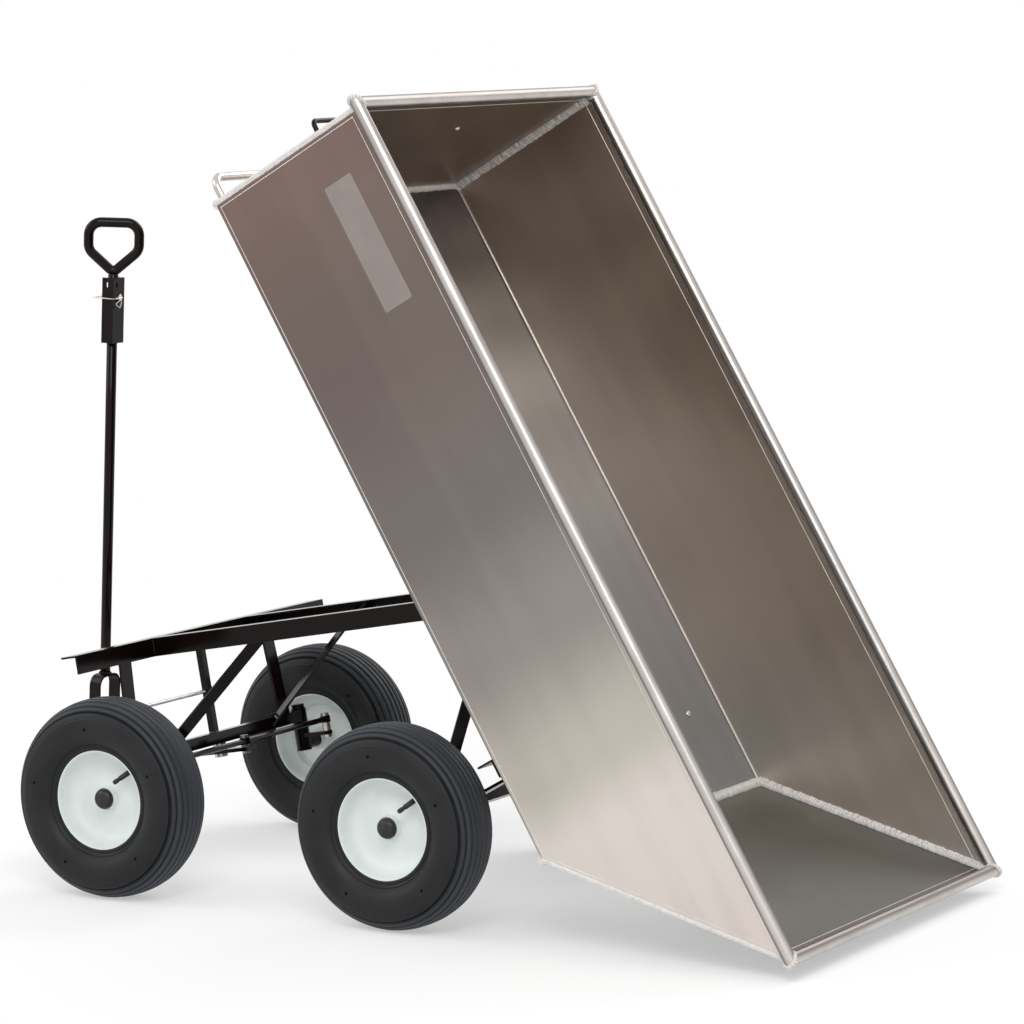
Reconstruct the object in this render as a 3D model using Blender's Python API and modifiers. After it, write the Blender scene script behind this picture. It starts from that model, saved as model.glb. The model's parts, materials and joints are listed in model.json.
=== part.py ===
"""Utility wagon: a garden dump wagon with an articulated steel frame and an aluminium tub.

The front unit carries the front axle, the steering gear, the handle and two rails.
The rear unit is the tub with the rear axle bolted rigidly under its floor.
They hinge on one rod at the rear ends of the rails, and the tub is shown tipped.
Units are metres, +X points to the rear, -Y is the left side and +Z is up.
"""
import math

import bmesh
import bpy
from mathutils import Matrix, Vector

# Clearances
GAP = 0.0003
RUNNING_CLEARANCE = 0.0003
SWING_CLEARANCE = 0.0005

# Wheels: 4.80/4.00-8 ribbed tyre on a deep white steel rim
TYRE_RADIUS = 0.2030
TYRE_HALF_WIDTH = 0.0660
TYRE_WALL = 0.0090
TYRE_SHOULDER_RADIUS = 0.1720
TYRE_SHOULDER_HALF_WIDTH = 0.0530
TYRE_BULGE = 0.65
TYRE_WALL_CURVE = ((0.15, 0.83), (0.38, 0.95), (TYRE_BULGE, 1.0), (0.87, 0.93))
TREAD_GROOVES = 5
TREAD_GROOVE_PITCH = 0.0155
TREAD_GROOVE_WIDTH = 0.0045
TREAD_GROOVE_DEPTH = 0.0035
WHEEL_SEGMENTS = 24
RIM_RADIUS = 0.1015
RIM_SEAT_RADIUS = 0.0950
RIM_WELL_RADIUS = 0.0800
RIM_HALF_WIDTH = 0.0470
RIM_FLANGE_WIDTH = 0.0050
RIM_SEAT_INNER = 0.0240
RIM_WELL_HALF_WIDTH = 0.0150
RIM_SHEET = 0.0030
HUB_RADIUS = 0.0240
HUB_INNER_LENGTH = 0.0420
HUB_OUTER_LENGTH = 0.0250
HUB_CAP_RADIUS = 0.0215
HUB_CAP_LENGTH = 0.0160
VALVE_CLOCK = 3.5 * 2.0 * math.pi / WHEEL_SEGMENTS
VALVE_LEAN = math.radians(45.0)
VALVE_RADIUS = 0.0058
VALVE_LENGTH = 0.0400
SPINDLE_RADIUS = 0.0095
SPINDLE_END_GAP = 0.0020
SHOULDER_RADIUS = 0.0160

# Stance
WHEEL_TRACK = 0.8130
TUB_TILT = math.radians(59.63)

# Steel sections
ANGLE_LEG = 0.0380
ANGLE_THICKNESS = 0.0040
LEG_WIDTH = 0.0380
LEG_THICKNESS = 0.0060
BRACE_WIDTH = 0.0250
BRACE_THICKNESS = 0.0050
BRACE_REACH = 0.0300
BRACE_WEB_CLEARANCE = 0.0045
AXLE_BEAM_SIZE = 0.0250

# Front unit, measured from the front axle centre
RAIL_TOP = 0.2955
CROSSBAR_LENGTH = 0.9280
CROSSBAR_WEB_X = 0.0120
RAIL_HALF_SPACING = 0.1950
HINGE_X = 0.8060
HINGE_DROP = 0.0200
HINGE_ROD_RADIUS = 0.0080
HINGE_ROD_OVERHANG = 0.0120
RAIL_NOSE_RADIUS = 0.0195
RAIL_TIE_SETBACK = 0.1200
LEG_KINGPIN_GAP = 0.0325
LEG_TOP_SPREAD = 0.2620
LEG_FOOT_Z = 0.0475
AXLE_BEAM_Z = 0.0600
POST_SIZE = 0.0150
STAY_ROD_RADIUS = 0.0040
STAY_ROD_Z = 0.1600
STAY_ROD_OVERHANG = 0.0200
FRONT_BRACE_FOOT_Y = 0.2000
FRONT_BRACE_FOOT_Z = 0.0650
FRONT_BRACE_HEAD_X = 0.2970

# Steering gear
KINGPIN_OFFSET = 0.0900
KINGPIN_RADIUS = 0.0085
SLEEVE_RADIUS = 0.0165
SLEEVE_HALF_LENGTH = 0.0150
KINGPIN_NUT_RADIUS = 0.0140
KINGPIN_NUT_HEIGHT = 0.0090
STEERING_ARM = 0.0650
STEERING_ARM_WIDTH = 0.0220
STEERING_ARM_THICKNESS = 0.0080
STEERING_ARM_Z = 0.0160
TIE_ROD_Z = 0.0450
TIE_ROD_RADIUS = 0.0060
TIE_ROD_EYE_RADIUS = 0.0110
TIE_ROD_EYE_HEIGHT = 0.0140
TIE_BOLT_RADIUS = 0.0050
BOLT_HEAD_RADIUS = 0.0090
BOLT_HEAD_HEIGHT = 0.0060
TONGUE_Z = 0.0300
TONGUE_WIDTH = 0.0380
TONGUE_THICKNESS = 0.0080
TONGUE_PIN_RADIUS = 0.0080
TONGUE_PIN_HEAD_RADIUS = 0.0140
TONGUE_PIN_HEAD_HEIGHT = 0.0070
TONGUE_REACH = 0.3060
TONGUE_TAIL = 0.0150
TONGUE_EYE_RADIUS = 0.0130

# Handle, measured along the shaft from the yoke bolt
HANDLE_LEAN = math.radians(2.6)
YOKE_HALF_WIDTH = 0.0385
YOKE_HEIGHT = 0.2000
YOKE_STRAP = 0.0260
YOKE_THICKNESS = 0.0050
YOKE_CORNER_RADIUS = 0.0240
YOKE_FOOT = 0.0160
YOKE_BOLT_RADIUS = 0.0065
YOKE_BOLT_HEAD_RADIUS = 0.0115
SHAFT_RADIUS = 0.0110
SHAFT_LENGTH = 0.7400
CLEVIS_DEPTH = 0.0290
CLEVIS_WIDTH = 0.0400
CLEVIS_LENGTH = 0.1380
CLEVIS_SHEET = 0.0040
CLEVIS_BASE_LAP = 0.0320
CLEVIS_SLOT_LENGTH = 0.0120
CLEVIS_SLOT_WIDTH = 0.0060
CLEVIS_SLOT_DROP = 0.0150
GRIP_TUBE_RADIUS = 0.0095
GRIP_HALF_WIDTH = 0.0516
GRIP_HEIGHT = 0.1000
GRIP_SHOULDER = 0.0470
GRIP_CORNER_RADIUS = 0.0250
GRIP_THROAT_RADIUS = 0.0120
GRIP_TURN = math.radians(58.0)
GRIP_STEM_LENGTH = 0.0650
HITCH_PIN_RADIUS = 0.0035
HITCH_PIN_HEAD_RADIUS = 0.0070
HITCH_PIN_HEAD_HEIGHT = 0.0045
HITCH_PIN_TAIL = 0.0180
HITCH_PIN_DROP = 0.0420
CLIP_WIRE_RADIUS = 0.0013
CLIP_STANDOFF = 0.0050

# Tub, measured from the outer rear-bottom corner of its floor
TUB_LENGTH = 1.4290
TUB_WIDTH = 0.9260
TUB_HEIGHT = 0.3870
TUB_REAR_FLARE = 0.3900
TUB_SHEET = 0.0030
RIM_TUBE_RADIUS = 0.0125
RIM_TUBE_OVERHANG = 0.0035
HINGE_FROM_REAR = 0.5250
REAR_AXLE_FROM_REAR = 0.2057
REAR_CROSSBAR_LENGTH = 0.9100
LEG_SHOULDER_GAP = 0.0030
SHOULDER_LAP = 0.0020
REAR_BRACE_FOOT_Y = 0.2250
REAR_BRACE_HEAD_X = 0.2810
LIFT_HANDLE_RADIUS = 0.0085
LIFT_HANDLE_STANDOFF = 0.0500
LIFT_HANDLE_SPREAD = TUB_WIDTH / 2.0 - 0.0180
LIFT_HANDLE_CORNER = 0.0250
LIFT_HANDLE_Z = 0.0150
TIE_LOOP_RADIUS = 0.0050
TIE_LOOP_Z = 0.2700
TIE_LOOP_Y = 0.0630 - TUB_WIDTH / 2.0
TIE_LOOP_HALF_LENGTH = 0.0450
TIE_LOOP_STANDOFF = 0.0300
TIE_LOOP_CORNER = 0.0120

# Shared derived sizes
AXLE_HEIGHT = TYRE_RADIUS * math.cos(math.pi / WHEEL_SEGMENTS)
HINGE_Z = RAIL_TOP - HINGE_DROP
HALF_TRACK = WHEEL_TRACK / 2.0
KINGPIN_SPREAD = HALF_TRACK - KINGPIN_OFFSET
LEG_FOOT_SPREAD = KINGPIN_SPREAD - LEG_KINGPIN_GAP
REAR_SHOULDER_START = LEG_FOOT_SPREAD + LEG_WIDTH / 2.0 + LEG_SHOULDER_GAP
SIDES = (("left", -1.0), ("right", 1.0))


def front_pitch():
    """Pitch of the front unit that stands all four wheels on the ground."""
    run = HINGE_FROM_REAR - REAR_AXLE_FROM_REAR
    hinge_height = run * math.sin(TUB_TILT) + HINGE_Z * math.cos(TUB_TILT)
    reach = math.hypot(HINGE_X, HINGE_Z)
    return math.asin(hinge_height / reach) - math.atan2(HINGE_Z, HINGE_X)


FRONT_PITCH = front_pitch()


# Scene helpers

def clear_scene():
    """Remove every object that the open file holds."""
    for obj in list(bpy.data.objects):
        bpy.data.objects.remove(obj, do_unlink=True)


def make_collection(name):
    """Make a collection under the scene's own one."""
    collection = bpy.data.collections.new(name)
    bpy.context.scene.collection.children.link(collection)
    return collection


clear_scene()
WAGON = make_collection("utility_wagon")
CUTTERS = make_collection("cutters")


def make_material(name, color, roughness, metallic):
    """Make a Principled material from a colour, roughness and metallic value."""
    material = bpy.data.materials.new(name)
    material.use_nodes = True
    shader = material.node_tree.nodes["Principled BSDF"]
    shader.inputs["Base Color"].default_value = (*color, 1.0)
    shader.inputs["Roughness"].default_value = roughness
    shader.inputs["Metallic"].default_value = metallic
    return material


BLACK_STEEL = make_material("black_powder_coat", (0.020, 0.015, 0.014), 0.30, 0.0)
ALUMINIUM = make_material("mill_aluminium", (0.56, 0.53, 0.50), 0.33, 1.0)
BRIGHT_ALUMINIUM = make_material("bright_aluminium", (0.72, 0.72, 0.71), 0.28, 1.0)
WHITE_ENAMEL = make_material("white_rim_enamel", (0.74, 0.78, 0.76), 0.35, 0.0)
TYRE_RUBBER = make_material("tyre_rubber", (0.030, 0.032, 0.036), 0.62, 0.0)
BLACK_RUBBER = make_material("black_rubber", (0.012, 0.012, 0.012), 0.45, 0.0)
ZINC = make_material("zinc_plate", (0.66, 0.66, 0.64), 0.30, 1.0)


def datum(name, parent=None, location=(0.0, 0.0, 0.0), rotation=(0.0, 0.0, 0.0)):
    """Add an empty that other pieces are placed from."""
    empty = bpy.data.objects.new(name, None)
    empty.empty_display_size = 0.05
    empty.location = location
    empty.rotation_euler = rotation
    empty.parent = parent
    WAGON.objects.link(empty)
    return empty


def place(obj, parent, location=(0.0, 0.0, 0.0), rotation=(0.0, 0.0, 0.0)):
    """Hang an object on its datum."""
    obj.parent = parent
    obj.location = location
    obj.rotation_euler = rotation
    return obj


def add_mesh(name, build, material, parent, location=(0.0, 0.0, 0.0), rotation=(0.0, 0.0, 0.0)):
    """Add a mesh object whose shape the build function makes in a bmesh."""
    mesh = bpy.data.meshes.new(name)
    work = bmesh.new()
    build(work)
    work.to_mesh(mesh)
    work.free()
    obj = bpy.data.objects.new(name, mesh)
    WAGON.objects.link(obj)
    if material:
        mesh.materials.append(material)
    return place(obj, parent, location, rotation)


def smooth(obj, angle=math.radians(35.0)):
    """Shade a mesh smooth with its edges kept crisp."""
    obj.data.shade_smooth()
    obj.data.set_sharp_from_angle(angle=angle)
    return obj


def box(name, size, material, parent, location=(0.0, 0.0, 0.0), rotation=(0.0, 0.0, 0.0)):
    """A block with its centre at the location."""
    def build(work):
        bmesh.ops.create_cube(work, size=1.0)
        bmesh.ops.scale(work, vec=Vector(size), verts=work.verts)
    return add_mesh(name, build, material, parent, location, rotation)


def cylinder(name, radius, length, material, parent, location=(0.0, 0.0, 0.0),
             rotation=(0.0, 0.0, 0.0), segments=16):
    """A round bar along its local Z with its centre at the location."""
    def build(work):
        bmesh.ops.create_cone(work, cap_ends=True, segments=segments,
                              radius1=radius, radius2=radius, depth=length)
    return smooth(add_mesh(name, build, material, parent, location, rotation))


def turned(name, profile, material, parent, location=(0.0, 0.0, 0.0), rotation=(0.0, 0.0, 0.0),
           segments=24, ring=False):
    """A turned piece: points (radius, height) run down the outer side, spun about local Z."""
    mesh = bpy.data.meshes.new(name)
    points = [(radius, 0.0, height) for radius, height in profile]
    edges = [(index, index + 1) for index in range(len(points) - 1)]
    if ring:
        edges.append((len(points) - 1, 0))
    mesh.from_pydata(points, edges, [])
    obj = bpy.data.objects.new(name, mesh)
    WAGON.objects.link(obj)
    mesh.materials.append(material)
    screw = obj.modifiers.new("turn", "SCREW")
    screw.axis = "Z"
    screw.steps = segments
    screw.render_steps = segments
    screw.use_merge_vertices = True
    screw.merge_threshold = 0.00001
    screw.use_smooth_shade = True
    return place(obj, parent, location, rotation)


def plate(name, outline, thickness, material, parent, location=(0.0, 0.0, 0.0),
          rotation=(0.0, 0.0, 0.0), holes=()):
    """A flat outline in local XY, as thick as given about its middle plane."""
    curve = bpy.data.curves.new(name, "CURVE")
    curve.dimensions = "2D"
    curve.fill_mode = "BOTH"
    curve.extrude = thickness / 2.0
    for loop in (outline, *holes):
        spline = curve.splines.new("POLY")
        spline.points.add(len(loop) - 1)
        for point, (x, y) in zip(spline.points, loop):
            point.co = (x, y, 0.0, 1.0)
        spline.use_cyclic_u = True
    curve.materials.append(material)
    obj = bpy.data.objects.new(name, curve)
    WAGON.objects.link(obj)
    return place(obj, parent, location, rotation)


def bent_tube(name, points, radius, material, parent, location=(0.0, 0.0, 0.0),
              rotation=(0.0, 0.0, 0.0), cyclic=False, resolution=3):
    """A round tube or wire through a list of points."""
    curve = bpy.data.curves.new(name, "CURVE")
    curve.dimensions = "3D"
    curve.bevel_depth = radius
    curve.bevel_resolution = resolution
    curve.use_fill_caps = not cyclic
    spline = curve.splines.new("POLY")
    spline.points.add(len(points) - 1)
    for point, (x, y, z) in zip(spline.points, points):
        point.co = (x, y, z, 1.0)
    spline.use_cyclic_u = cyclic
    curve.materials.append(material)
    obj = bpy.data.objects.new(name, curve)
    WAGON.objects.link(obj)
    return place(obj, parent, location, rotation)


def as_mesh(obj):
    """Turn a curve object into a mesh object of the same name and place."""
    bpy.context.view_layer.update()
    name = obj.name
    parent, location, rotation = obj.parent, obj.location.copy(), obj.rotation_euler.copy()
    evaluated = obj.evaluated_get(bpy.context.evaluated_depsgraph_get())
    mesh = bpy.data.meshes.new_from_object(evaluated)
    bpy.data.objects.remove(obj, do_unlink=True)
    work = bmesh.new()
    work.from_mesh(mesh)
    bmesh.ops.remove_doubles(work, verts=work.verts, dist=0.00001)
    work.to_mesh(mesh)
    work.free()
    solid = bpy.data.objects.new(name, mesh)
    WAGON.objects.link(solid)
    return smooth(place(solid, parent, location, rotation))


def as_cutter(obj):
    """Move a shaping solid to the cutters' collection."""
    WAGON.objects.unlink(obj)
    CUTTERS.objects.link(obj)
    obj.hide_render = True
    obj.display_type = "WIRE"
    return obj


def boolean(obj, other, operation):
    """Cut or join one mesh object with another."""
    modifier = obj.modifiers.new(operation.lower(), "BOOLEAN")
    modifier.operation = operation
    modifier.solver = "EXACT"
    modifier.object = as_cutter(other)
    return obj


def cut(obj, other):
    """Take the other solid away from the object."""
    return boolean(obj, other, "DIFFERENCE")


def join(obj, other):
    """Weld the other solid to the object."""
    return boolean(obj, other, "UNION")


def drill(obj, radius, length, parent, location, rotation=(0.0, 0.0, 0.0), segments=16):
    """Drill a round hole through the object."""
    tool = cylinder(obj.name + "_drill", radius, length, None, parent, location, rotation, segments)
    return cut(obj, tool)


ALONG_X = (0.0, math.pi / 2.0, 0.0)
ALONG_Y = (math.pi / 2.0, 0.0, 0.0)
PROFILE_ALONG_X = (math.pi / 2.0, 0.0, math.pi / 2.0)


def arc(center, radius, start, end, steps):
    """Points of an arc from one angle to another, in degrees."""
    points = []
    for index in range(steps + 1):
        angle = math.radians(start + (end - start) * index / steps)
        points.append((center[0] + radius * math.cos(angle), center[1] + radius * math.sin(angle)))
    return points


def angle_outline(flange_x, web_x, top, leg=ANGLE_LEG, thickness=ANGLE_THICKNESS):
    """An L section with its flange on top, from flange tip to web face."""
    turn = 1.0 if web_x > flange_x else -1.0
    return [
        (flange_x, top),
        (web_x, top),
        (web_x, top - leg),
        (web_x - turn * thickness, top - leg),
        (web_x - turn * thickness, top - thickness),
        (flange_x, top - thickness),
    ]


def rounded(corners, steps=4, closed=False):
    """Points through (x, y, radius) corners, each corner rounded by its radius."""
    points = []
    count = len(corners)
    for index, (x, y, radius) in enumerate(corners):
        here = Vector((x, y))
        if radius == 0.0 or (not closed and index in (0, count - 1)):
            points.append((x, y))
            continue
        before = (Vector(corners[index - 1][:2]) - here).normalized()
        after = (Vector(corners[(index + 1) % count][:2]) - here).normalized()
        half = before.angle(after) / 2.0
        middle = here + (before + after).normalized() * radius / math.sin(half)
        first = here + before * radius / math.tan(half) - middle
        sweep = first.angle_signed(here + after * radius / math.tan(half) - middle)
        for step in range(steps + 1):
            spoke = Matrix.Rotation(-sweep * step / steps, 2) @ first
            points.append(tuple(middle + spoke))
    return points


def bolt_profile(shank_radius, head_radius, head_height, grip, nut_height):
    """A bolt from its head down to its nut, with z = 0 under the head."""
    return [
        (0.0, head_height),
        (head_radius, head_height),
        (head_radius, 0.0),
        (shank_radius, 0.0),
        (shank_radius, -grip),
        (head_radius, -grip),
        (head_radius, -grip - nut_height),
        (0.0, -grip - nut_height),
    ]


# Pieces that the front and rear units share

def axle_legs(prefix, parent, x, foot_z):
    """Two flat legs that lean in from the axle beam to the crossbar."""
    half = LEG_WIDTH / 2.0
    for side, sign in SIDES:
        outline = [
            (sign * LEG_FOOT_SPREAD - half, foot_z),
            (sign * LEG_FOOT_SPREAD + half, foot_z),
            (sign * LEG_TOP_SPREAD + half, CROSSBAR_UNDERSIDE),
            (sign * LEG_TOP_SPREAD - half, CROSSBAR_UNDERSIDE),
        ]
        plate(f"{side}_{prefix}_leg", outline, LEG_THICKNESS, BLACK_STEEL, parent,
              (x, 0.0, 0.0), PROFILE_ALONG_X)


def crossbar(name, length, parent, direction):
    """An angle iron across the wagon with its flange on top and its web behind the legs."""
    web = direction * CROSSBAR_WEB_X
    outline = angle_outline(web - direction * ANGLE_LEG, web, RAIL_TOP)
    return plate(name, outline, length, BLACK_STEEL, parent, rotation=ALONG_Y)


def build_rail(name, parent, start, hinge_x, web, flange_side):
    """An angle-iron rail with a rounded end bored for the hinge rod."""
    toward = math.copysign(1.0, hinge_x - start)
    end = hinge_x + toward * RAIL_NOSE_RADIUS
    outline = angle_outline(web + flange_side * ANGLE_LEG, web, RAIL_TOP)
    rail = as_mesh(plate(name, outline, abs(end - start), BLACK_STEEL, parent,
                         ((start + end) / 2.0, 0.0, 0.0), PROFILE_ALONG_X))
    below = math.degrees(math.asin((ANGLE_LEG - HINGE_DROP) / RAIL_NOSE_RADIUS))
    clear = 2.0 * RAIL_NOSE_RADIUS
    nose = arc((0.0, 0.0), RAIL_NOSE_RADIUS, 90.0, -below, 8)
    nose += [(0.0, -clear), (clear, -clear), (clear, clear), (0.0, clear)]
    tool_outline = [(hinge_x + toward * x, HINGE_Z + z) for x, z in nose]
    cut(rail, as_mesh(plate(f"{name}_nose_tool", tool_outline, 3.0 * ANGLE_LEG, BLACK_STEEL,
                            parent, (0.0, web, 0.0), ALONG_Y)))
    drill(rail, HINGE_ROD_RADIUS + RUNNING_CLEARANCE, 3.0 * ANGLE_LEG, parent,
          (hinge_x, web, HINGE_Z), ALONG_Y)


def build_brace(name, parent, foot, head, roll):
    """A flat diagonal brace, cut flush with the axle beam's face and the rail's flange."""
    start, end = Vector(foot), Vector(head)
    run = (end - start).normalized()
    turn = run.to_track_quat("Z", "Y").to_euler()
    middle = (start + end) / 2.0
    length = (end - start).length + 2.0 * BRACE_REACH
    brace = add_mesh(name, lambda work: (
        bmesh.ops.create_cube(work, size=1.0),
        bmesh.ops.scale(work, vec=(BRACE_WIDTH, BRACE_THICKNESS, length), verts=work.verts),
        bmesh.ops.rotate(work, matrix=Matrix.Rotation(roll, 3, "Z"), verts=work.verts),
    ), BLACK_STEEL, parent, middle, turn)
    toward = math.copysign(1.0, head[0] - foot[0])
    block = 4.0 * BRACE_REACH
    cut(brace, box(f"{name}_foot_tool", (block, block, block), None, parent,
                   (foot[0] - toward * block / 2.0, foot[1], foot[2])))
    cut(brace, box(f"{name}_head_tool", (block, block, block), None, parent,
                   (head[0], head[1], head[2] + block / 2.0)))


# Front unit

ROOT = datum("wagon_datum")
FRONT = datum("front_axle_datum", ROOT, (0.0, 0.0, AXLE_HEIGHT), (0.0, -FRONT_PITCH, 0.0))
CROSSBAR_UNDERSIDE = RAIL_TOP - ANGLE_THICKNESS - GAP
BEAM_TOP = AXLE_BEAM_Z + AXLE_BEAM_SIZE / 2.0
BEAM_BOTTOM = AXLE_BEAM_Z - AXLE_BEAM_SIZE / 2.0
BEAM_FACE = AXLE_BEAM_SIZE / 2.0 + GAP
LEG_X = -(BEAM_FACE + LEG_THICKNESS / 2.0)
POST_X = LEG_X + LEG_THICKNESS / 2.0 + GAP + STAY_ROD_RADIUS


def build_front_frame():
    """Front crossbar, legs, rails and braces."""
    crossbar("front_crossbar", CROSSBAR_LENGTH, FRONT, 1.0)
    axle_legs("front", FRONT, LEG_X, LEG_FOOT_Z)
    inside = RAIL_HALF_SPACING - ANGLE_THICKNESS - BRACE_WEB_CLEARANCE
    brace_half = (BRACE_WIDTH + BRACE_THICKNESS) * math.sin(math.pi / 4.0) / 2.0
    for side, sign in SIDES:
        build_rail(f"{side}_rail", FRONT, CROSSBAR_WEB_X + GAP, HINGE_X,
                   sign * RAIL_HALF_SPACING, -sign)
        build_brace(f"{side}_front_brace", FRONT,
                    (BEAM_FACE, sign * FRONT_BRACE_FOOT_Y, FRONT_BRACE_FOOT_Z),
                    (FRONT_BRACE_HEAD_X, sign * (inside - brace_half), CROSSBAR_UNDERSIDE),
                    sign * math.pi / 4.0)


def build_rail_tie():
    """Short angle iron that ties the rails together ahead of the hinge."""
    inner = RAIL_HALF_SPACING - ANGLE_THICKNESS - GAP
    back = HINGE_X - RAIL_TIE_SETBACK
    outline = angle_outline(back - ANGLE_LEG, back, CROSSBAR_UNDERSIDE, ANGLE_LEG - ANGLE_THICKNESS)
    plate("rail_tie", outline, 2.0 * inner, BLACK_STEEL, FRONT, rotation=ALONG_Y)


def build_hinge_rod():
    """The rod that the tub tips on, through the front rails and the tub's own rails."""
    half = RAIL_HALF_SPACING + SWING_CLEARANCE + ANGLE_THICKNESS + HINGE_ROD_OVERHANG
    cylinder("hinge_rod", HINGE_ROD_RADIUS, 2.0 * half, ZINC, FRONT, (HINGE_X, 0.0, HINGE_Z),
             ALONG_Y)


def build_front_axle_beam():
    """Square axle beam with a bored kingpin sleeve at each end and a bore for the tongue pin."""
    length = 2.0 * KINGPIN_SPREAD - SLEEVE_RADIUS
    beam = box("front_axle_beam", (AXLE_BEAM_SIZE, length, AXLE_BEAM_SIZE), BLACK_STEEL, FRONT,
               (0.0, 0.0, AXLE_BEAM_Z))
    for side, sign in SIDES:
        spot = (0.0, sign * KINGPIN_SPREAD, AXLE_BEAM_Z)
        join(beam, cylinder(f"{side}_sleeve", SLEEVE_RADIUS, 2.0 * SLEEVE_HALF_LENGTH, None,
                            FRONT, spot))
        drill(beam, KINGPIN_RADIUS + RUNNING_CLEARANCE, 4.0 * SLEEVE_HALF_LENGTH, FRONT, spot)
    drill(beam, TONGUE_PIN_RADIUS + GAP, AXLE_BEAM_SIZE, FRONT, (0.0, 0.0, BEAM_BOTTOM))


def build_centre_post():
    """Square post from the axle beam to the crossbar, drilled for the stay rod."""
    foot = BEAM_TOP + GAP
    height = CROSSBAR_UNDERSIDE - foot
    post = box("centre_post", (POST_SIZE, POST_SIZE, height), BLACK_STEEL, FRONT,
               (POST_X, 0.0, foot + height / 2.0))
    drill(post, STAY_ROD_RADIUS + RUNNING_CLEARANCE, 3.0 * POST_SIZE, FRONT,
          (POST_X, 0.0, STAY_ROD_Z), ALONG_Y)


def build_stay_rod():
    """Thin rod from behind the left leg through the centre post, with a nut beyond it."""
    lean = (STAY_ROD_Z - LEG_FOOT_Z) / (CROSSBAR_UNDERSIDE - LEG_FOOT_Z)
    leg_y = LEG_FOOT_SPREAD + (LEG_TOP_SPREAD - LEG_FOOT_SPREAD) * lean
    nut_face = POST_SIZE / 2.0 + GAP
    far_end = POST_SIZE / 2.0 + STAY_ROD_OVERHANG
    profile = [
        (0.0, far_end),
        (STAY_ROD_RADIUS, far_end),
        (STAY_ROD_RADIUS, nut_face + BOLT_HEAD_HEIGHT),
        (BOLT_HEAD_RADIUS, nut_face + BOLT_HEAD_HEIGHT),
        (BOLT_HEAD_RADIUS, nut_face),
        (STAY_ROD_RADIUS, nut_face),
        (STAY_ROD_RADIUS, -leg_y),
        (0.0, -leg_y),
    ]
    turned("stay_rod", profile, ZINC, FRONT, (POST_X, 0.0, STAY_ROD_Z),
           (-math.pi / 2.0, 0.0, 0.0), 14)


# Steering gear

TONGUE = datum("tongue_datum", FRONT)
STEER = {side: datum(f"{side}_kingpin_datum", FRONT, (0.0, sign * KINGPIN_SPREAD, 0.0))
         for side, sign in SIDES}
TIE_DATUM = datum("tie_rod_datum", STEER["left"], (STEERING_ARM, 0.0, TIE_ROD_Z))
TONGUE_UNDERSIDE = TONGUE_Z - TONGUE_THICKNESS / 2.0 - RUNNING_CLEARANCE
TONGUE_TOP = TONGUE_Z + TONGUE_THICKNESS / 2.0 + RUNNING_CLEARANCE
TIE_EYE_TOP = TIE_ROD_Z + TIE_ROD_EYE_HEIGHT / 2.0 + RUNNING_CLEARANCE
TIE_EYE_BOTTOM = TIE_ROD_Z - TIE_ROD_EYE_HEIGHT / 2.0 - RUNNING_CLEARANCE


def build_tongue_pin():
    """Pin that the tongue swings on, with a spacer collar above it and a head below."""
    profile = [
        (0.0, AXLE_BEAM_Z - GAP),
        (TONGUE_PIN_RADIUS, AXLE_BEAM_Z - GAP),
        (TONGUE_PIN_RADIUS, BEAM_BOTTOM - GAP),
        (TONGUE_PIN_HEAD_RADIUS, BEAM_BOTTOM - GAP),
        (TONGUE_PIN_HEAD_RADIUS, TONGUE_TOP),
        (TONGUE_PIN_RADIUS, TONGUE_TOP),
        (TONGUE_PIN_RADIUS, TONGUE_UNDERSIDE),
        (TONGUE_PIN_HEAD_RADIUS, TONGUE_UNDERSIDE),
        (TONGUE_PIN_HEAD_RADIUS, TONGUE_UNDERSIDE - TONGUE_PIN_HEAD_HEIGHT),
        (0.0, TONGUE_UNDERSIDE - TONGUE_PIN_HEAD_HEIGHT),
    ]
    turned("tongue_pin", profile, ZINC, FRONT, segments=16)


def build_tongue():
    """Flat steering tongue with a yoke eye in front and a tie-rod hole at its tail."""
    front = -TONGUE_REACH
    back = STEERING_ARM + TONGUE_TAIL
    tongue = box("tongue", (back - front, TONGUE_WIDTH, TONGUE_THICKNESS), BLACK_STEEL, TONGUE,
                 ((front + back) / 2.0, 0.0, TONGUE_Z))
    eye_length = 2.0 * (YOKE_HALF_WIDTH - YOKE_THICKNESS - SWING_CLEARANCE)
    eye = (front, 0.0, TONGUE_Z)
    join(tongue, cylinder("tongue_eye", TONGUE_EYE_RADIUS, eye_length, None, TONGUE, eye, ALONG_Y))
    drill(tongue, YOKE_BOLT_RADIUS + RUNNING_CLEARANCE, 2.0 * eye_length, TONGUE, eye, ALONG_Y)
    drill(tongue, TONGUE_PIN_RADIUS + RUNNING_CLEARANCE, TONGUE_WIDTH, TONGUE,
          (0.0, 0.0, TONGUE_Z))
    drill(tongue, TIE_BOLT_RADIUS + GAP, TONGUE_WIDTH, TONGUE, (STEERING_ARM, 0.0, TONGUE_Z))


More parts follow.
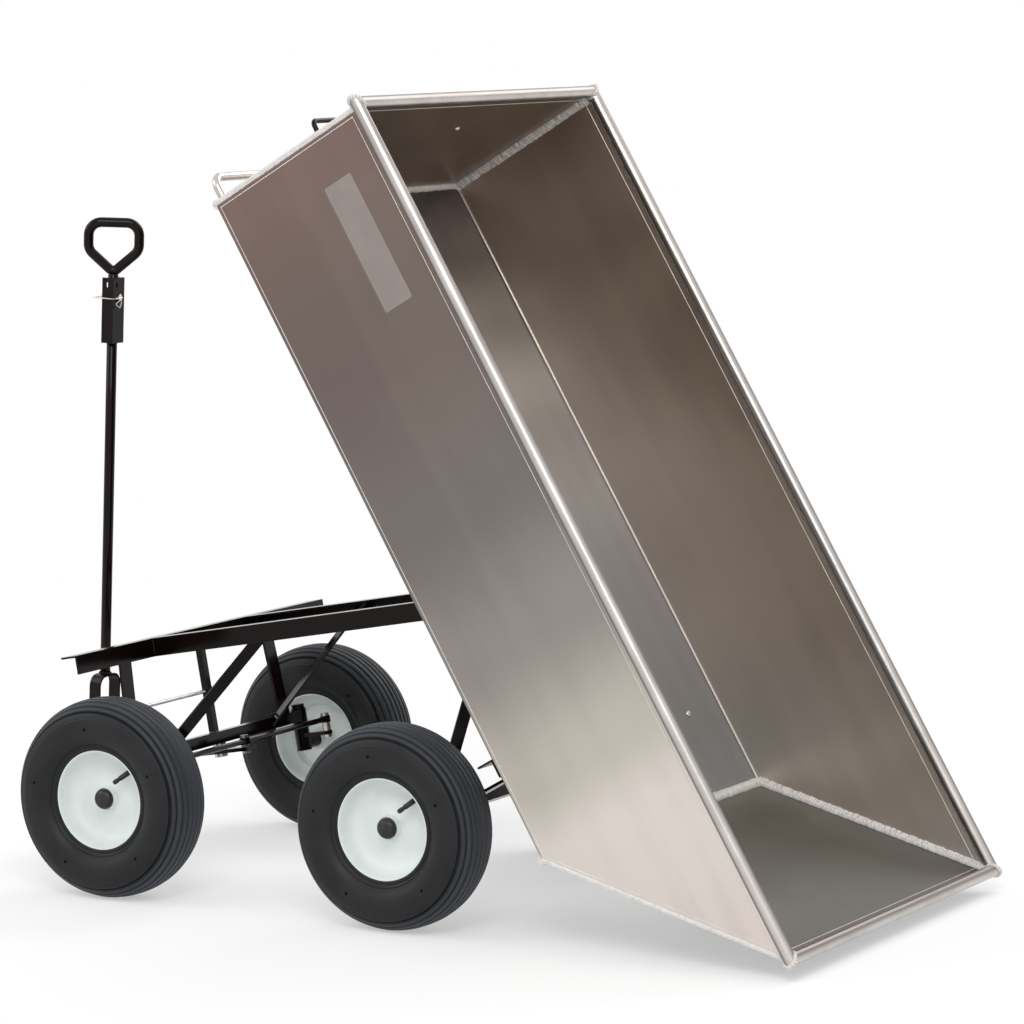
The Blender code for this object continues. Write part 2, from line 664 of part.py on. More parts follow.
def tie_bolt(name, parent, under_strap):
    """Bolt with a spacer between the strap below and the tie rod's eye above."""
    eye_top = TIE_EYE_TOP
    strap_top = under_strap + 2.0 * RUNNING_CLEARANCE + STEERING_ARM_THICKNESS
    profile = [
        (0.0, eye_top + BOLT_HEAD_HEIGHT),
        (BOLT_HEAD_RADIUS, eye_top + BOLT_HEAD_HEIGHT),
        (BOLT_HEAD_RADIUS, eye_top),
        (TIE_BOLT_RADIUS, eye_top),
        (TIE_BOLT_RADIUS, TIE_EYE_BOTTOM),
        (BOLT_HEAD_RADIUS, TIE_EYE_BOTTOM),
        (BOLT_HEAD_RADIUS, strap_top),
        (TIE_BOLT_RADIUS, strap_top),
        (TIE_BOLT_RADIUS, under_strap),
        (BOLT_HEAD_RADIUS, under_strap),
        (BOLT_HEAD_RADIUS, under_strap - BOLT_HEAD_HEIGHT),
        (0.0, under_strap - BOLT_HEAD_HEIGHT),
    ]
    turned(name, profile, ZINC, parent, (STEERING_ARM, 0.0, 0.0), segments=14)


def build_tie_bolts():
    """Bolts that hang the tie rod's eyes over the steering arms and the tongue's tail."""
    arm_underside = STEERING_ARM_Z - STEERING_ARM_THICKNESS / 2.0 - RUNNING_CLEARANCE
    for side, _ in SIDES:
        tie_bolt(f"{side}_tie_bolt", STEER[side], arm_underside)
    tie_bolt("tongue_tie_bolt", TONGUE, TONGUE_UNDERSIDE)


def build_knuckles():
    """Steering knuckles: collar and kingpin, wheel spindle, and rearward steering arm."""
    sleeve_bottom = AXLE_BEAM_Z - SLEEVE_HALF_LENGTH - RUNNING_CLEARANCE
    sleeve_top = AXLE_BEAM_Z + SLEEVE_HALF_LENGTH + RUNNING_CLEARANCE
    profile = [
        (0.0, sleeve_top + KINGPIN_NUT_HEIGHT),
        (KINGPIN_NUT_RADIUS, sleeve_top + KINGPIN_NUT_HEIGHT),
        (KINGPIN_NUT_RADIUS, sleeve_top),
        (KINGPIN_RADIUS, sleeve_top),
        (KINGPIN_RADIUS, sleeve_bottom),
        (SLEEVE_RADIUS, sleeve_bottom),
        (SLEEVE_RADIUS, -SLEEVE_RADIUS),
        (0.0, -SLEEVE_RADIUS),
    ]
    offset = HALF_TRACK - KINGPIN_SPREAD
    reach = offset + HUB_OUTER_LENGTH - SPINDLE_END_GAP
    shoulder = offset - HUB_INNER_LENGTH - RUNNING_CLEARANCE
    for side, sign in SIDES:
        parent = STEER[side]
        knuckle = turned(f"{side}_knuckle", profile, BLACK_STEEL, parent, segments=16)
        join(knuckle, cylinder(f"{side}_shoulder", SHOULDER_RADIUS, shoulder, None, parent,
                               (0.0, sign * shoulder / 2.0, 0.0), ALONG_Y))
        join(knuckle, cylinder(f"{side}_spindle", SPINDLE_RADIUS, reach, None, parent,
                               (0.0, sign * reach / 2.0, 0.0), ALONG_Y))
        arm = [(0.0, -STEERING_ARM_WIDTH / 2.0)]
        arm += arc((STEERING_ARM, 0.0), STEERING_ARM_WIDTH / 2.0, -90.0, 90.0, 8)
        arm += [(0.0, STEERING_ARM_WIDTH / 2.0)]
        join(knuckle, as_mesh(plate(f"{side}_arm", arm, STEERING_ARM_THICKNESS, BLACK_STEEL,
                                    parent, (0.0, 0.0, STEERING_ARM_Z))))
        drill(knuckle, TIE_BOLT_RADIUS + GAP, STEERING_ARM_WIDTH, parent,
              (STEERING_ARM, 0.0, STEERING_ARM_Z), segments=14)


def build_tie_rod():
    """Tie rod with an eye over each steering arm and one over the tongue's tail."""
    span = 2.0 * KINGPIN_SPREAD
    rod = cylinder("tie_rod", TIE_ROD_RADIUS, span, BLACK_STEEL, TIE_DATUM,
                   (0.0, span / 2.0, 0.0), ALONG_Y, 12)
    for name, y in (("left_eye", 0.0), ("middle_eye", span / 2.0), ("right_eye", span)):
        join(rod, cylinder(name, TIE_ROD_EYE_RADIUS, TIE_ROD_EYE_HEIGHT, None, TIE_DATUM,
                           (0.0, y, 0.0), segments=16))
        drill(rod, TIE_BOLT_RADIUS + RUNNING_CLEARANCE, 2.0 * TIE_ROD_EYE_HEIGHT, TIE_DATUM,
              (0.0, y, 0.0), segments=14)


# Handle

HANDLE = datum("handle_datum", TONGUE, (-TONGUE_REACH, 0.0, TONGUE_Z),
               (0.0, FRONT_PITCH + HANDLE_LEAN, 0.0))
SHAFT_FOOT = YOKE_HEIGHT + GAP
CLEVIS_BASE = SHAFT_FOOT + SHAFT_LENGTH - CLEVIS_BASE_LAP
CLEVIS_TOP = CLEVIS_BASE + CLEVIS_LENGTH
PIN_HEIGHT = CLEVIS_TOP - HITCH_PIN_DROP


def build_yoke():
    """Inverted U strap whose legs straddle the tongue's eye."""
    half, thick = YOKE_HALF_WIDTH, YOKE_THICKNESS
    outline = rounded([
        (-half, -YOKE_FOOT, 0.0),
        (-half, YOKE_HEIGHT, YOKE_CORNER_RADIUS),
        (half, YOKE_HEIGHT, YOKE_CORNER_RADIUS),
        (half, -YOKE_FOOT, 0.0),
    ])
    outline += rounded([
        (half - thick, -YOKE_FOOT, 0.0),
        (half - thick, YOKE_HEIGHT - thick, YOKE_CORNER_RADIUS - thick),
        (thick - half, YOKE_HEIGHT - thick, YOKE_CORNER_RADIUS - thick),
        (thick - half, -YOKE_FOOT, 0.0),
    ])
    yoke = as_mesh(plate("yoke", outline, YOKE_STRAP, BLACK_STEEL, HANDLE,
                         rotation=PROFILE_ALONG_X))
    drill(yoke, YOKE_BOLT_RADIUS + GAP, 4.0 * half, HANDLE, (0.0, 0.0, 0.0), ALONG_Y)


def build_yoke_bolt():
    """Bolt across the yoke through the tongue's eye."""
    grip = 2.0 * (YOKE_HALF_WIDTH + GAP)
    profile = bolt_profile(YOKE_BOLT_RADIUS, YOKE_BOLT_HEAD_RADIUS, BOLT_HEAD_HEIGHT, grip,
                           BOLT_HEAD_HEIGHT)
    turned("yoke_bolt", profile, ZINC, HANDLE, (0.0, -grip / 2.0, 0.0), ALONG_Y, 16)


def build_handle_shaft():
    """Round handle shaft from the yoke's crown into the clevis."""
    cylinder("handle_shaft", SHAFT_RADIUS, SHAFT_LENGTH, BLACK_STEEL, HANDLE,
             (0.0, 0.0, SHAFT_FOOT + SHAFT_LENGTH / 2.0))


def slot_tool(name, length, location, rotation):
    """An obround cutter that runs through a wall along its local Z."""
    half = (CLEVIS_SLOT_LENGTH - CLEVIS_SLOT_WIDTH) / 2.0
    radius = CLEVIS_SLOT_WIDTH / 2.0
    outline = arc((0.0, half), radius, 0.0, 180.0, 6) + arc((0.0, -half), radius, 180.0, 360.0, 6)
    return as_mesh(plate(name, outline, length, BLACK_STEEL, HANDLE, location, rotation))


def build_hitch_clevis():
    """U channel at the shaft's head, open to the front, that holds the grip's stem."""
    web = SHAFT_RADIUS + GAP + CLEVIS_SHEET
    half = CLEVIS_WIDTH / 2.0
    inner = half - CLEVIS_SHEET
    outline = [
        (web - CLEVIS_DEPTH, -half),
        (web, -half),
        (web, half),
        (web - CLEVIS_DEPTH, half),
        (web - CLEVIS_DEPTH, inner),
        (web - CLEVIS_SHEET, inner),
        (web - CLEVIS_SHEET, -inner),
        (web - CLEVIS_DEPTH, -inner),
    ]
    clevis = as_mesh(plate("hitch_clevis", outline, CLEVIS_LENGTH, BLACK_STEEL, HANDLE,
                           (0.0, 0.0, CLEVIS_BASE + CLEVIS_LENGTH / 2.0)))
    slot_z = CLEVIS_TOP - CLEVIS_SLOT_DROP
    flange_x = web - CLEVIS_DEPTH + 2.0 * CLEVIS_SLOT_WIDTH
    cut(clevis, slot_tool("flange_slot_tool", 2.0 * CLEVIS_WIDTH, (flange_x, 0.0, slot_z),
                          (math.pi / 2.0, 0.0, 0.0)))
    cut(clevis, slot_tool("web_slot_tool", 4.0 * CLEVIS_SHEET, (web, -inner / 2.0, slot_z),
                          (math.pi / 2.0, 0.0, math.pi / 2.0)))
    drill(clevis, HITCH_PIN_RADIUS + GAP, 4.0 * CLEVIS_DEPTH, HANDLE, (0.0, 0.0, PIN_HEIGHT),
          ALONG_X, 12)


def build_grip():
    """D-shaped grip loop with a stem that drops into the clevis."""
    apex = CLEVIS_TOP + GRIP_TUBE_RADIUS
    corners = [
        (0.0, 0.0, GRIP_THROAT_RADIUS),
        (GRIP_HALF_WIDTH, GRIP_SHOULDER, GRIP_CORNER_RADIUS),
        (GRIP_HALF_WIDTH, GRIP_HEIGHT, GRIP_CORNER_RADIUS),
        (-GRIP_HALF_WIDTH, GRIP_HEIGHT, GRIP_CORNER_RADIUS),
        (-GRIP_HALF_WIDTH, GRIP_SHOULDER, GRIP_CORNER_RADIUS),
    ]
    loop = [(0.0, y, z) for y, z in rounded(corners, 4, True)]
    grip = as_mesh(bent_tube("grip", loop, GRIP_TUBE_RADIUS, BLACK_STEEL, HANDLE,
                             (0.0, 0.0, apex), (0.0, 0.0, -GRIP_TURN), True, 2))
    top = apex + GRIP_TUBE_RADIUS / 2.0
    bottom = CLEVIS_TOP - GRIP_STEM_LENGTH
    join(grip, cylinder("grip_stem", SHAFT_RADIUS, top - bottom, None, HANDLE,
                        (0.0, 0.0, (top + bottom) / 2.0)))
    drill(grip, HITCH_PIN_RADIUS + GAP, 4.0 * SHAFT_RADIUS, HANDLE, (0.0, 0.0, PIN_HEIGHT),
          ALONG_X, 12)


def build_hitch_pin():
    """Pull pin through the clevis web and the stem, its head on the rear side."""
    face = SHAFT_RADIUS + 2.0 * GAP + CLEVIS_SHEET
    tail = face - CLEVIS_DEPTH - HITCH_PIN_TAIL
    profile = [
        (0.0, face + HITCH_PIN_HEAD_HEIGHT),
        (HITCH_PIN_HEAD_RADIUS, face + HITCH_PIN_HEAD_HEIGHT),
        (HITCH_PIN_HEAD_RADIUS, face),
        (HITCH_PIN_RADIUS, face),
        (HITCH_PIN_RADIUS, tail),
        (0.0, tail),
    ]
    turned("hitch_pin", profile, ZINC, HANDLE, (0.0, 0.0, PIN_HEIGHT), ALONG_X, 12)


def build_hitch_pin_clip():
    """Wire clip from the pin's head round the left flange to the pin's tail."""
    face = SHAFT_RADIUS + 2.0 * GAP + CLEVIS_SHEET + HITCH_PIN_HEAD_HEIGHT
    head = face + GAP + CLIP_WIRE_RADIUS
    tail = face - HITCH_PIN_HEAD_HEIGHT - CLEVIS_DEPTH - HITCH_PIN_TAIL - GAP - CLIP_WIRE_RADIUS
    side = -(CLEVIS_WIDTH / 2.0 + CLIP_STANDOFF)
    path = rounded([(head, HITCH_PIN_RADIUS, 0.0), (head, side, CLIP_STANDOFF),
                    (tail, side, CLIP_STANDOFF), (tail, HITCH_PIN_RADIUS, 0.0)])
    wire = [(x, y, 0.0) for x, y in path]
    bent_tube("hitch_pin_clip", wire, CLIP_WIRE_RADIUS, ZINC, HANDLE, (0.0, 0.0, PIN_HEIGHT),
              resolution=1)


# Wheels

def tread_radius(width):
    """Radius of the crowned tread at a distance from the tyre's middle plane."""
    fall = TYRE_RADIUS - TYRE_SHOULDER_RADIUS
    return TYRE_RADIUS - fall * (width / TYRE_SHOULDER_HALF_WIDTH) ** 2


def tyre_profile():
    """Closed section of the tyre: ribbed crown, bulging walls, beads and its hollow inside."""
    bead = RIM_HALF_WIDTH - RIM_FLANGE_WIDTH - GAP
    seat = RIM_SEAT_RADIUS + GAP
    flange = RIM_RADIUS + GAP
    rise = TYRE_SHOULDER_RADIUS - flange
    side = [
        (seat, bead),
        (flange, bead),
    ]
    side += [(flange + up * rise, out * TYRE_HALF_WIDTH) for up, out in TYRE_WALL_CURVE]
    side.append((TYRE_SHOULDER_RADIUS, TYRE_SHOULDER_HALF_WIDTH))
    tread = []
    half = TREAD_GROOVE_WIDTH / 2.0
    for groove in range(TREAD_GROOVES):
        middle = ((TREAD_GROOVES - 1) / 2.0 - groove) * TREAD_GROOVE_PITCH
        tread.append((tread_radius(middle + half), middle + half))
        tread.append((tread_radius(middle) - TREAD_GROOVE_DEPTH, middle))
        tread.append((tread_radius(middle - half), middle - half))
    far_side = [(radius, -width) for radius, width in reversed(side)]
    cavity = [
        (seat, bead - TYRE_WALL),
        (flange + TYRE_BULGE * rise, TYRE_HALF_WIDTH - TYRE_WALL),
        (TYRE_SHOULDER_RADIUS + TYRE_WALL, TYRE_SHOULDER_HALF_WIDTH - 2.0 * TYRE_WALL),
    ]
    far_cavity = [(radius, -width) for radius, width in cavity]
    return side + tread + far_side + far_cavity + list(reversed(cavity))


def rim_profile():
    """Closed section of the pressed rim with its disc and hub."""
    seat_edge = RIM_HALF_WIDTH - RIM_FLANGE_WIDTH
    inner_seat = RIM_SEAT_RADIUS - RIM_SHEET
    inner_well = RIM_WELL_RADIUS - RIM_SHEET
    bore = SPINDLE_RADIUS + RUNNING_CLEARANCE
    outer = [
        (RIM_RADIUS, RIM_HALF_WIDTH),
        (RIM_RADIUS, seat_edge),
        (RIM_SEAT_RADIUS, seat_edge),
        (RIM_SEAT_RADIUS, RIM_SEAT_INNER),
        (RIM_WELL_RADIUS, RIM_WELL_HALF_WIDTH),
    ]
    inner = [
        (inner_seat, RIM_HALF_WIDTH),
        (inner_seat, RIM_SEAT_INNER),
        (inner_well, RIM_WELL_HALF_WIDTH),
        (inner_well, RIM_SHEET / 2.0),
        (HUB_RADIUS, RIM_SHEET / 2.0),
    ]
    hub = [
        (HUB_RADIUS, -HUB_INNER_LENGTH),
        (bore, -HUB_INNER_LENGTH),
        (bore, HUB_OUTER_LENGTH),
        (HUB_RADIUS, HUB_OUTER_LENGTH),
    ]
    far_outer = [(radius, -width) for radius, width in reversed(outer)]
    far_inner = [(radius, -width) for radius, width in inner]
    return outer + far_outer + far_inner + hub + list(reversed(inner))


def build_wheel(name, sign, parent, location, frame_turn):
    """One wheel on its own axle datum: tyre, rim, hub cap and valve stem."""
    standing = frame_turn + math.pi / WHEEL_SEGMENTS
    axle = datum(f"{name}_wheel_datum", parent, location, (0.0, standing, 0.0))
    outward = (-sign * math.pi / 2.0, 0.0, 0.0)
    turned(f"{name}_tyre", tyre_profile(), TYRE_RUBBER, axle, rotation=outward,
           segments=WHEEL_SEGMENTS, ring=True)
    turned(f"{name}_rim", rim_profile(), WHITE_ENAMEL, axle, rotation=outward,
           segments=WHEEL_SEGMENTS, ring=True)
    cap_foot = HUB_OUTER_LENGTH + GAP
    cap = [
        (0.0, cap_foot + HUB_CAP_LENGTH),
        (0.55 * HUB_CAP_RADIUS, cap_foot + 0.95 * HUB_CAP_LENGTH),
        (0.88 * HUB_CAP_RADIUS, cap_foot + 0.75 * HUB_CAP_LENGTH),
        (HUB_CAP_RADIUS, cap_foot + 0.35 * HUB_CAP_LENGTH),
        (HUB_CAP_RADIUS, cap_foot),
        (0.0, cap_foot),
    ]
    turned(f"{name}_hub_cap", cap, BLACK_RUBBER, axle, rotation=outward, segments=16)
    shrink = math.cos(math.pi / WHEEL_SEGMENTS)
    slope = Vector((shrink * (RIM_SEAT_RADIUS - RIM_WELL_RADIUS), RIM_SEAT_INNER - RIM_WELL_HALF_WIDTH))
    wall = Vector((shrink * ((RIM_SEAT_RADIUS + RIM_WELL_RADIUS) / 2.0 - RIM_SHEET),
                   (RIM_SEAT_INNER + RIM_WELL_HALF_WIDTH) / 2.0))
    wall_normal = Vector((-slope.y, slope.x)).normalized()
    lean = Vector((-math.sin(VALVE_LEAN), math.cos(VALVE_LEAN)))
    stand = GAP + VALVE_RADIUS * math.sin(lean.angle(wall_normal))
    middle = wall + wall_normal * stand + lean * VALVE_LENGTH / 2.0
    spoke = Vector((math.cos(VALVE_CLOCK), 0.0, math.sin(VALVE_CLOCK)))
    out = Vector((0.0, sign, 0.0))
    turn = (spoke * lean.x + out * lean.y).to_track_quat("Z", "Y").to_euler()
    cylinder(f"{name}_valve_stem", VALVE_RADIUS, VALVE_LENGTH, BLACK_RUBBER, axle,
             spoke * middle.x + out * middle.y, turn, 12)


# Rear unit: the tub is the datum, and the axle hangs rigidly under its floor

TUB = datum("tub_datum", FRONT, (HINGE_X, 0.0, HINGE_Z), (0.0, TUB_TILT + FRONT_PITCH, 0.0))
REAR_AXLE_X = HINGE_FROM_REAR - REAR_AXLE_FROM_REAR
REAR = datum("rear_axle_datum", TUB, (REAR_AXLE_X, 0.0, -HINGE_Z))
FLOOR = datum("tub_floor_datum", TUB, (HINGE_FROM_REAR, 0.0, HINGE_DROP + GAP))


def build_rear_frame():
    """Rear crossbar, legs, braces and the two rails that reach forward to the hinge rod."""
    crossbar("rear_crossbar", REAR_CROSSBAR_LENGTH, REAR, -1.0)
    axle_legs("rear", REAR, -LEG_X, -AXLE_BEAM_SIZE / 2.0)
    web = RAIL_HALF_SPACING + SWING_CLEARANCE
    outside = web + ANGLE_THICKNESS + GAP
    brace_half = (BRACE_WIDTH + BRACE_THICKNESS) * math.sin(math.pi / 4.0) / 2.0
    for side, sign in SIDES:
        build_rail(f"{side}_tub_rail", REAR, -(CROSSBAR_WEB_X + GAP), -REAR_AXLE_X,
                   sign * web, sign)
        build_brace(f"{side}_rear_brace", REAR, (-BEAM_FACE, sign * REAR_BRACE_FOOT_Y, 0.0),
                    (-REAR_BRACE_HEAD_X, sign * (outside + brace_half), CROSSBAR_UNDERSIDE),
                    sign * math.pi / 4.0)


def build_rear_axle():
    """Square rear axle with a turned shoulder and spindle at each end."""
    axle = box("rear_axle", (AXLE_BEAM_SIZE, 2.0 * REAR_SHOULDER_START, AXLE_BEAM_SIZE),
               BLACK_STEEL, REAR)
    shoulder_start = REAR_SHOULDER_START - SHOULDER_LAP
    shoulder_end = HALF_TRACK - HUB_INNER_LENGTH - RUNNING_CLEARANCE
    spindle_end = HALF_TRACK + HUB_OUTER_LENGTH - SPINDLE_END_GAP
    for side, sign in SIDES:
        middle = sign * (shoulder_start + shoulder_end) / 2.0
        join(axle, cylinder(f"{side}_rear_shoulder", SHOULDER_RADIUS, shoulder_end - shoulder_start,
                            None, REAR, (0.0, middle, 0.0), ALONG_Y))
    join(axle, cylinder("rear_spindles", SPINDLE_RADIUS, 2.0 * spindle_end, None, REAR,
                        rotation=ALONG_Y))


WALL_TOP = TUB_HEIGHT - math.sqrt(RIM_TUBE_RADIUS ** 2 - RIM_TUBE_OVERHANG ** 2) - GAP
WALL_FLARE = TUB_REAR_FLARE * WALL_TOP / TUB_HEIGHT


def build_tub_pan():
    """Floor and both side walls, bent from one sheet."""
    def surface(half, floor_z):
        """Corners of the floor and the walls, left side first."""
        flare = TUB_REAR_FLARE * floor_z / TUB_HEIGHT
        points = []
        for y in (-half, half):
            points += [(flare, y, floor_z), (-TUB_LENGTH, y, floor_z),
                       (-TUB_LENGTH, y, WALL_TOP), (WALL_FLARE, y, WALL_TOP)]
        return points

    half = TUB_WIDTH / 2.0
    points = surface(half, 0.0) + surface(half - TUB_SHEET, TUB_SHEET)
    outer = [(3, 2, 1, 0), (1, 5, 4, 0), (5, 6, 7, 4)]
    inner = [tuple(index + 8 for index in reversed(face)) for face in outer]
    edge = [3, 2, 1, 5, 6, 7, 4, 0]
    rim = [(edge[k], edge[k - 1], edge[k - 1] + 8, edge[k] + 8) for k in range(len(edge))]
    mesh = bpy.data.meshes.new("tub_pan")
    mesh.from_pydata(points, [], outer + inner + rim)
    mesh.materials.append(ALUMINIUM)
    pan = bpy.data.objects.new("tub_pan", mesh)
    WAGON.objects.link(pan)
    place(pan, FLOOR)


def build_tub_ends():
    """Upright front panel and sloping rear panel, welded in between the sides."""
    width = TUB_WIDTH - 2.0 * (TUB_SHEET + GAP)
    foot = TUB_SHEET + GAP
    box("front_panel", (TUB_SHEET, width, WALL_TOP - foot), ALUMINIUM, FLOOR,
        (TUB_SHEET / 2.0 - TUB_LENGTH, 0.0, (WALL_TOP + foot) / 2.0))
    flare = TUB_REAR_FLARE / TUB_HEIGHT
    across = TUB_SHEET * math.hypot(1.0, flare)
    outline = [
        (flare * foot - across, foot),
        (flare * foot, foot),
        (WALL_FLARE, WALL_TOP),
        (WALL_FLARE - across, WALL_TOP),
    ]
    plate("rear_panel", outline, width, ALUMINIUM, FLOOR, rotation=ALONG_Y)


def build_rim_tubes():
    """Four round tubes welded round the tub's mouth."""
    front = -TUB_LENGTH - RIM_TUBE_OVERHANG
    rear = WALL_FLARE + RIM_TUBE_OVERHANG
    half_y = TUB_WIDTH / 2.0 + RIM_TUBE_OVERHANG
    side_start = front - RIM_TUBE_RADIUS
    side_end = rear + RIM_TUBE_RADIUS
    for side, sign in SIDES:
        cylinder(f"{side}_rim_tube", RIM_TUBE_RADIUS, side_end - side_start, BRIGHT_ALUMINIUM,
                 FLOOR, ((side_start + side_end) / 2.0, sign * half_y, TUB_HEIGHT), ALONG_X, 16)
    length = 2.0 * (half_y - RIM_TUBE_RADIUS - GAP)
    for end, x in (("front", front), ("rear", rear)):
        cylinder(f"{end}_rim_tube", RIM_TUBE_RADIUS, length, BRIGHT_ALUMINIUM, FLOOR,
                 (x, 0.0, TUB_HEIGHT), ALONG_Y, 16)


def u_rod(name, radius, half, standoff, corner, location, segments, material):
    """A round rod bent to a U whose feet stand on the front panel."""
    path = rounded([(-GAP, -half, 0.0), (-standoff, -half, corner), (-standoff, half, corner),
                    (-GAP, half, 0.0)])
    points = [(x, y, 0.0) for x, y in path]
    as_mesh(bent_tube(name, points, radius, material, FLOOR, location, resolution=segments))


def build_front_fittings():
    """Lift handle across the foot of the front panel and a tie loop near its left edge."""
    u_rod("lift_handle", LIFT_HANDLE_RADIUS, LIFT_HANDLE_SPREAD, LIFT_HANDLE_STANDOFF,
          LIFT_HANDLE_CORNER, (-TUB_LENGTH, 0.0, LIFT_HANDLE_Z), 2, BRIGHT_ALUMINIUM)
    u_rod("tie_loop", TIE_LOOP_RADIUS, TIE_LOOP_HALF_LENGTH, TIE_LOOP_STANDOFF,
          TIE_LOOP_CORNER, (-TUB_LENGTH, TIE_LOOP_Y, TIE_LOOP_Z), 1, BLACK_STEEL)


def stand_on_origin():
    """Move the wagon so that the bottom centre of its bounding box is the origin."""
    bpy.context.view_layer.update()
    graph = bpy.context.evaluated_depsgraph_get()
    low = Vector((math.inf,) * 3)
    high = Vector((-math.inf,) * 3)
    for obj in WAGON.objects:
        if obj.type == "EMPTY":
            continue
        evaluated = obj.evaluated_get(graph)
        mesh = evaluated.to_mesh()
        for vertex in mesh.vertices:
            spot = evaluated.matrix_world @ vertex.co
            low = Vector(map(min, low, spot))
            high = Vector(map(max, high, spot))
        evaluated.to_mesh_clear()
    middle = (low + high) / 2.0
    ROOT.location = (-middle.x, -middle.y, -low.z)


build_front_frame()
build_rail_tie()
build_hinge_rod()
build_front_axle_beam()
build_centre_post()
build_stay_rod()
build_tongue_pin()
build_tongue()
build_tie_bolts()
build_knuckles()
build_tie_rod()
build_yoke()
build_yoke_bolt()
build_handle_shaft()
build_hitch_clevis()
build_grip()
build_hitch_pin()
build_hitch_pin_clip()
for wheel_side, wheel_sign in SIDES:
    build_wheel(f"front_{wheel_side}", wheel_sign, STEER[wheel_side],
                (0.0, wheel_sign * (HALF_TRACK - KINGPIN_SPREAD), 0.0), FRONT_PITCH)
    build_wheel(f"rear_{wheel_side}", wheel_sign, REAR, (0.0, wheel_sign * HALF_TRACK, 0.0),
                -TUB_TILT)
build_rear_frame()
build_rear_axle()
build_tub_pan()
build_tub_ends()
build_rim_tubes()
build_front_fittings()
stand_on_origin()
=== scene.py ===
"""Looks of the utility wagon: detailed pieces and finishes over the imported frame."""
import json
import logging
import math
import random
from dataclasses import dataclass, replace
from enum import Enum

import bmesh
import bpy
from mathutils import Matrix, Vector


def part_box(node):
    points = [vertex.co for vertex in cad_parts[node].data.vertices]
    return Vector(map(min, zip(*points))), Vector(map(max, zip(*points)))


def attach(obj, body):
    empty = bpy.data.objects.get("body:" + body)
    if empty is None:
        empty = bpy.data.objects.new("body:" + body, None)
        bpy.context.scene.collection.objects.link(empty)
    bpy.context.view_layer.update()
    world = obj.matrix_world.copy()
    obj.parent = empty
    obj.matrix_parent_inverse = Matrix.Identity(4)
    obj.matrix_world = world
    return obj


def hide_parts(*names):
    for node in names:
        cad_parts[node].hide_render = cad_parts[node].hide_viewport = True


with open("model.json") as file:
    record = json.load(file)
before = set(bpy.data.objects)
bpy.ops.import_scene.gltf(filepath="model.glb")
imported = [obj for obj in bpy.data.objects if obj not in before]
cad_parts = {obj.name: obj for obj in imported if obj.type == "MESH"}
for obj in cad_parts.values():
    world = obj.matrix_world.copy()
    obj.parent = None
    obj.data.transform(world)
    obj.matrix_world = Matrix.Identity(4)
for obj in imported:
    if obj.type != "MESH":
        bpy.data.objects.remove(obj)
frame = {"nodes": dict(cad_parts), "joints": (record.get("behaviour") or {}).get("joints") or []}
log = logging.getLogger("utility_wagon")

Triple = tuple[float, float, float]
Color = Triple
Stops = tuple[tuple[float, Color], ...]
Points = list[tuple[float, float]]
Socket = bpy.types.NodeSocket
Node = bpy.types.Node
Mesh = bmesh.types.BMesh

FULL_TURN = 2.0 * math.pi
QUARTER_TURN = math.pi / 2.0
SIDES = (-1.0, 1.0)
MOTTLE_SPAN = (0.38, 0.62)
ROUGHNESS_SPAN = (0.3, 0.7)
BUMP_STRENGTH = 0.6
BEVELLED_ANGLE = math.radians(25.0)
SOFTENED_ANGLE = math.radians(40.0)
MERGE_DISTANCE = 0.000005
BEAD_SIDES = 10
BEAD_SCALE = ((0.0, 0.94), (0.35, 1.0), (0.75, 1.01), (0.97, 0.95))

# Sizes that the frame's own source also uses, in metres and radians
FRONT_PITCH = math.radians(10.269)
TUB_TILT = math.radians(59.63)
HANDLE_LEAN = math.radians(2.6)
GAP = 0.0003


class Slot(Enum):
    """Material slots of the record."""

    POWDER = "black_powder_coat"
    SHEET = "mill_aluminium"
    TUBE = "bright_aluminium"
    ENAMEL = "white_rim_enamel"
    TYRE = "tyre_rubber"
    RUBBER = "black_rubber"
    ZINC = "zinc_plate"


class Body(Enum):
    """Moving bodies that added pieces ride on, apart from the wheels."""

    FRONT = "front_frame"
    HANDLE = "handle"
    TUB = "tub"


def joint_spot(name: str) -> Vector:
    """Rest position of a joint, by its name."""
    spots = {joint["name"]: joint["pos_m"] for joint in frame["joints"]}
    return Vector(spots[name])


TUB_ORIGIN = tuple(joint_spot("tub_tip"))


def local_frame(origin: Vector, pitch: float) -> Matrix:
    """Matrix of a local frame that is pitched about +Y at an origin."""
    return Matrix.Translation(origin) @ Matrix.Rotation(pitch, 4, "Y")


def add_object(name: str, data: bpy.types.ID) -> bpy.types.Object:
    """Put a new object in the scene.

    Args:
        name: Name of the object.
        data: Mesh, lamp or camera that it shows.

    Returns:
        The new object.
    """
    thing = bpy.data.objects.new(name, data)
    bpy.context.scene.collection.objects.link(thing)
    return thing


# Node groups and materials

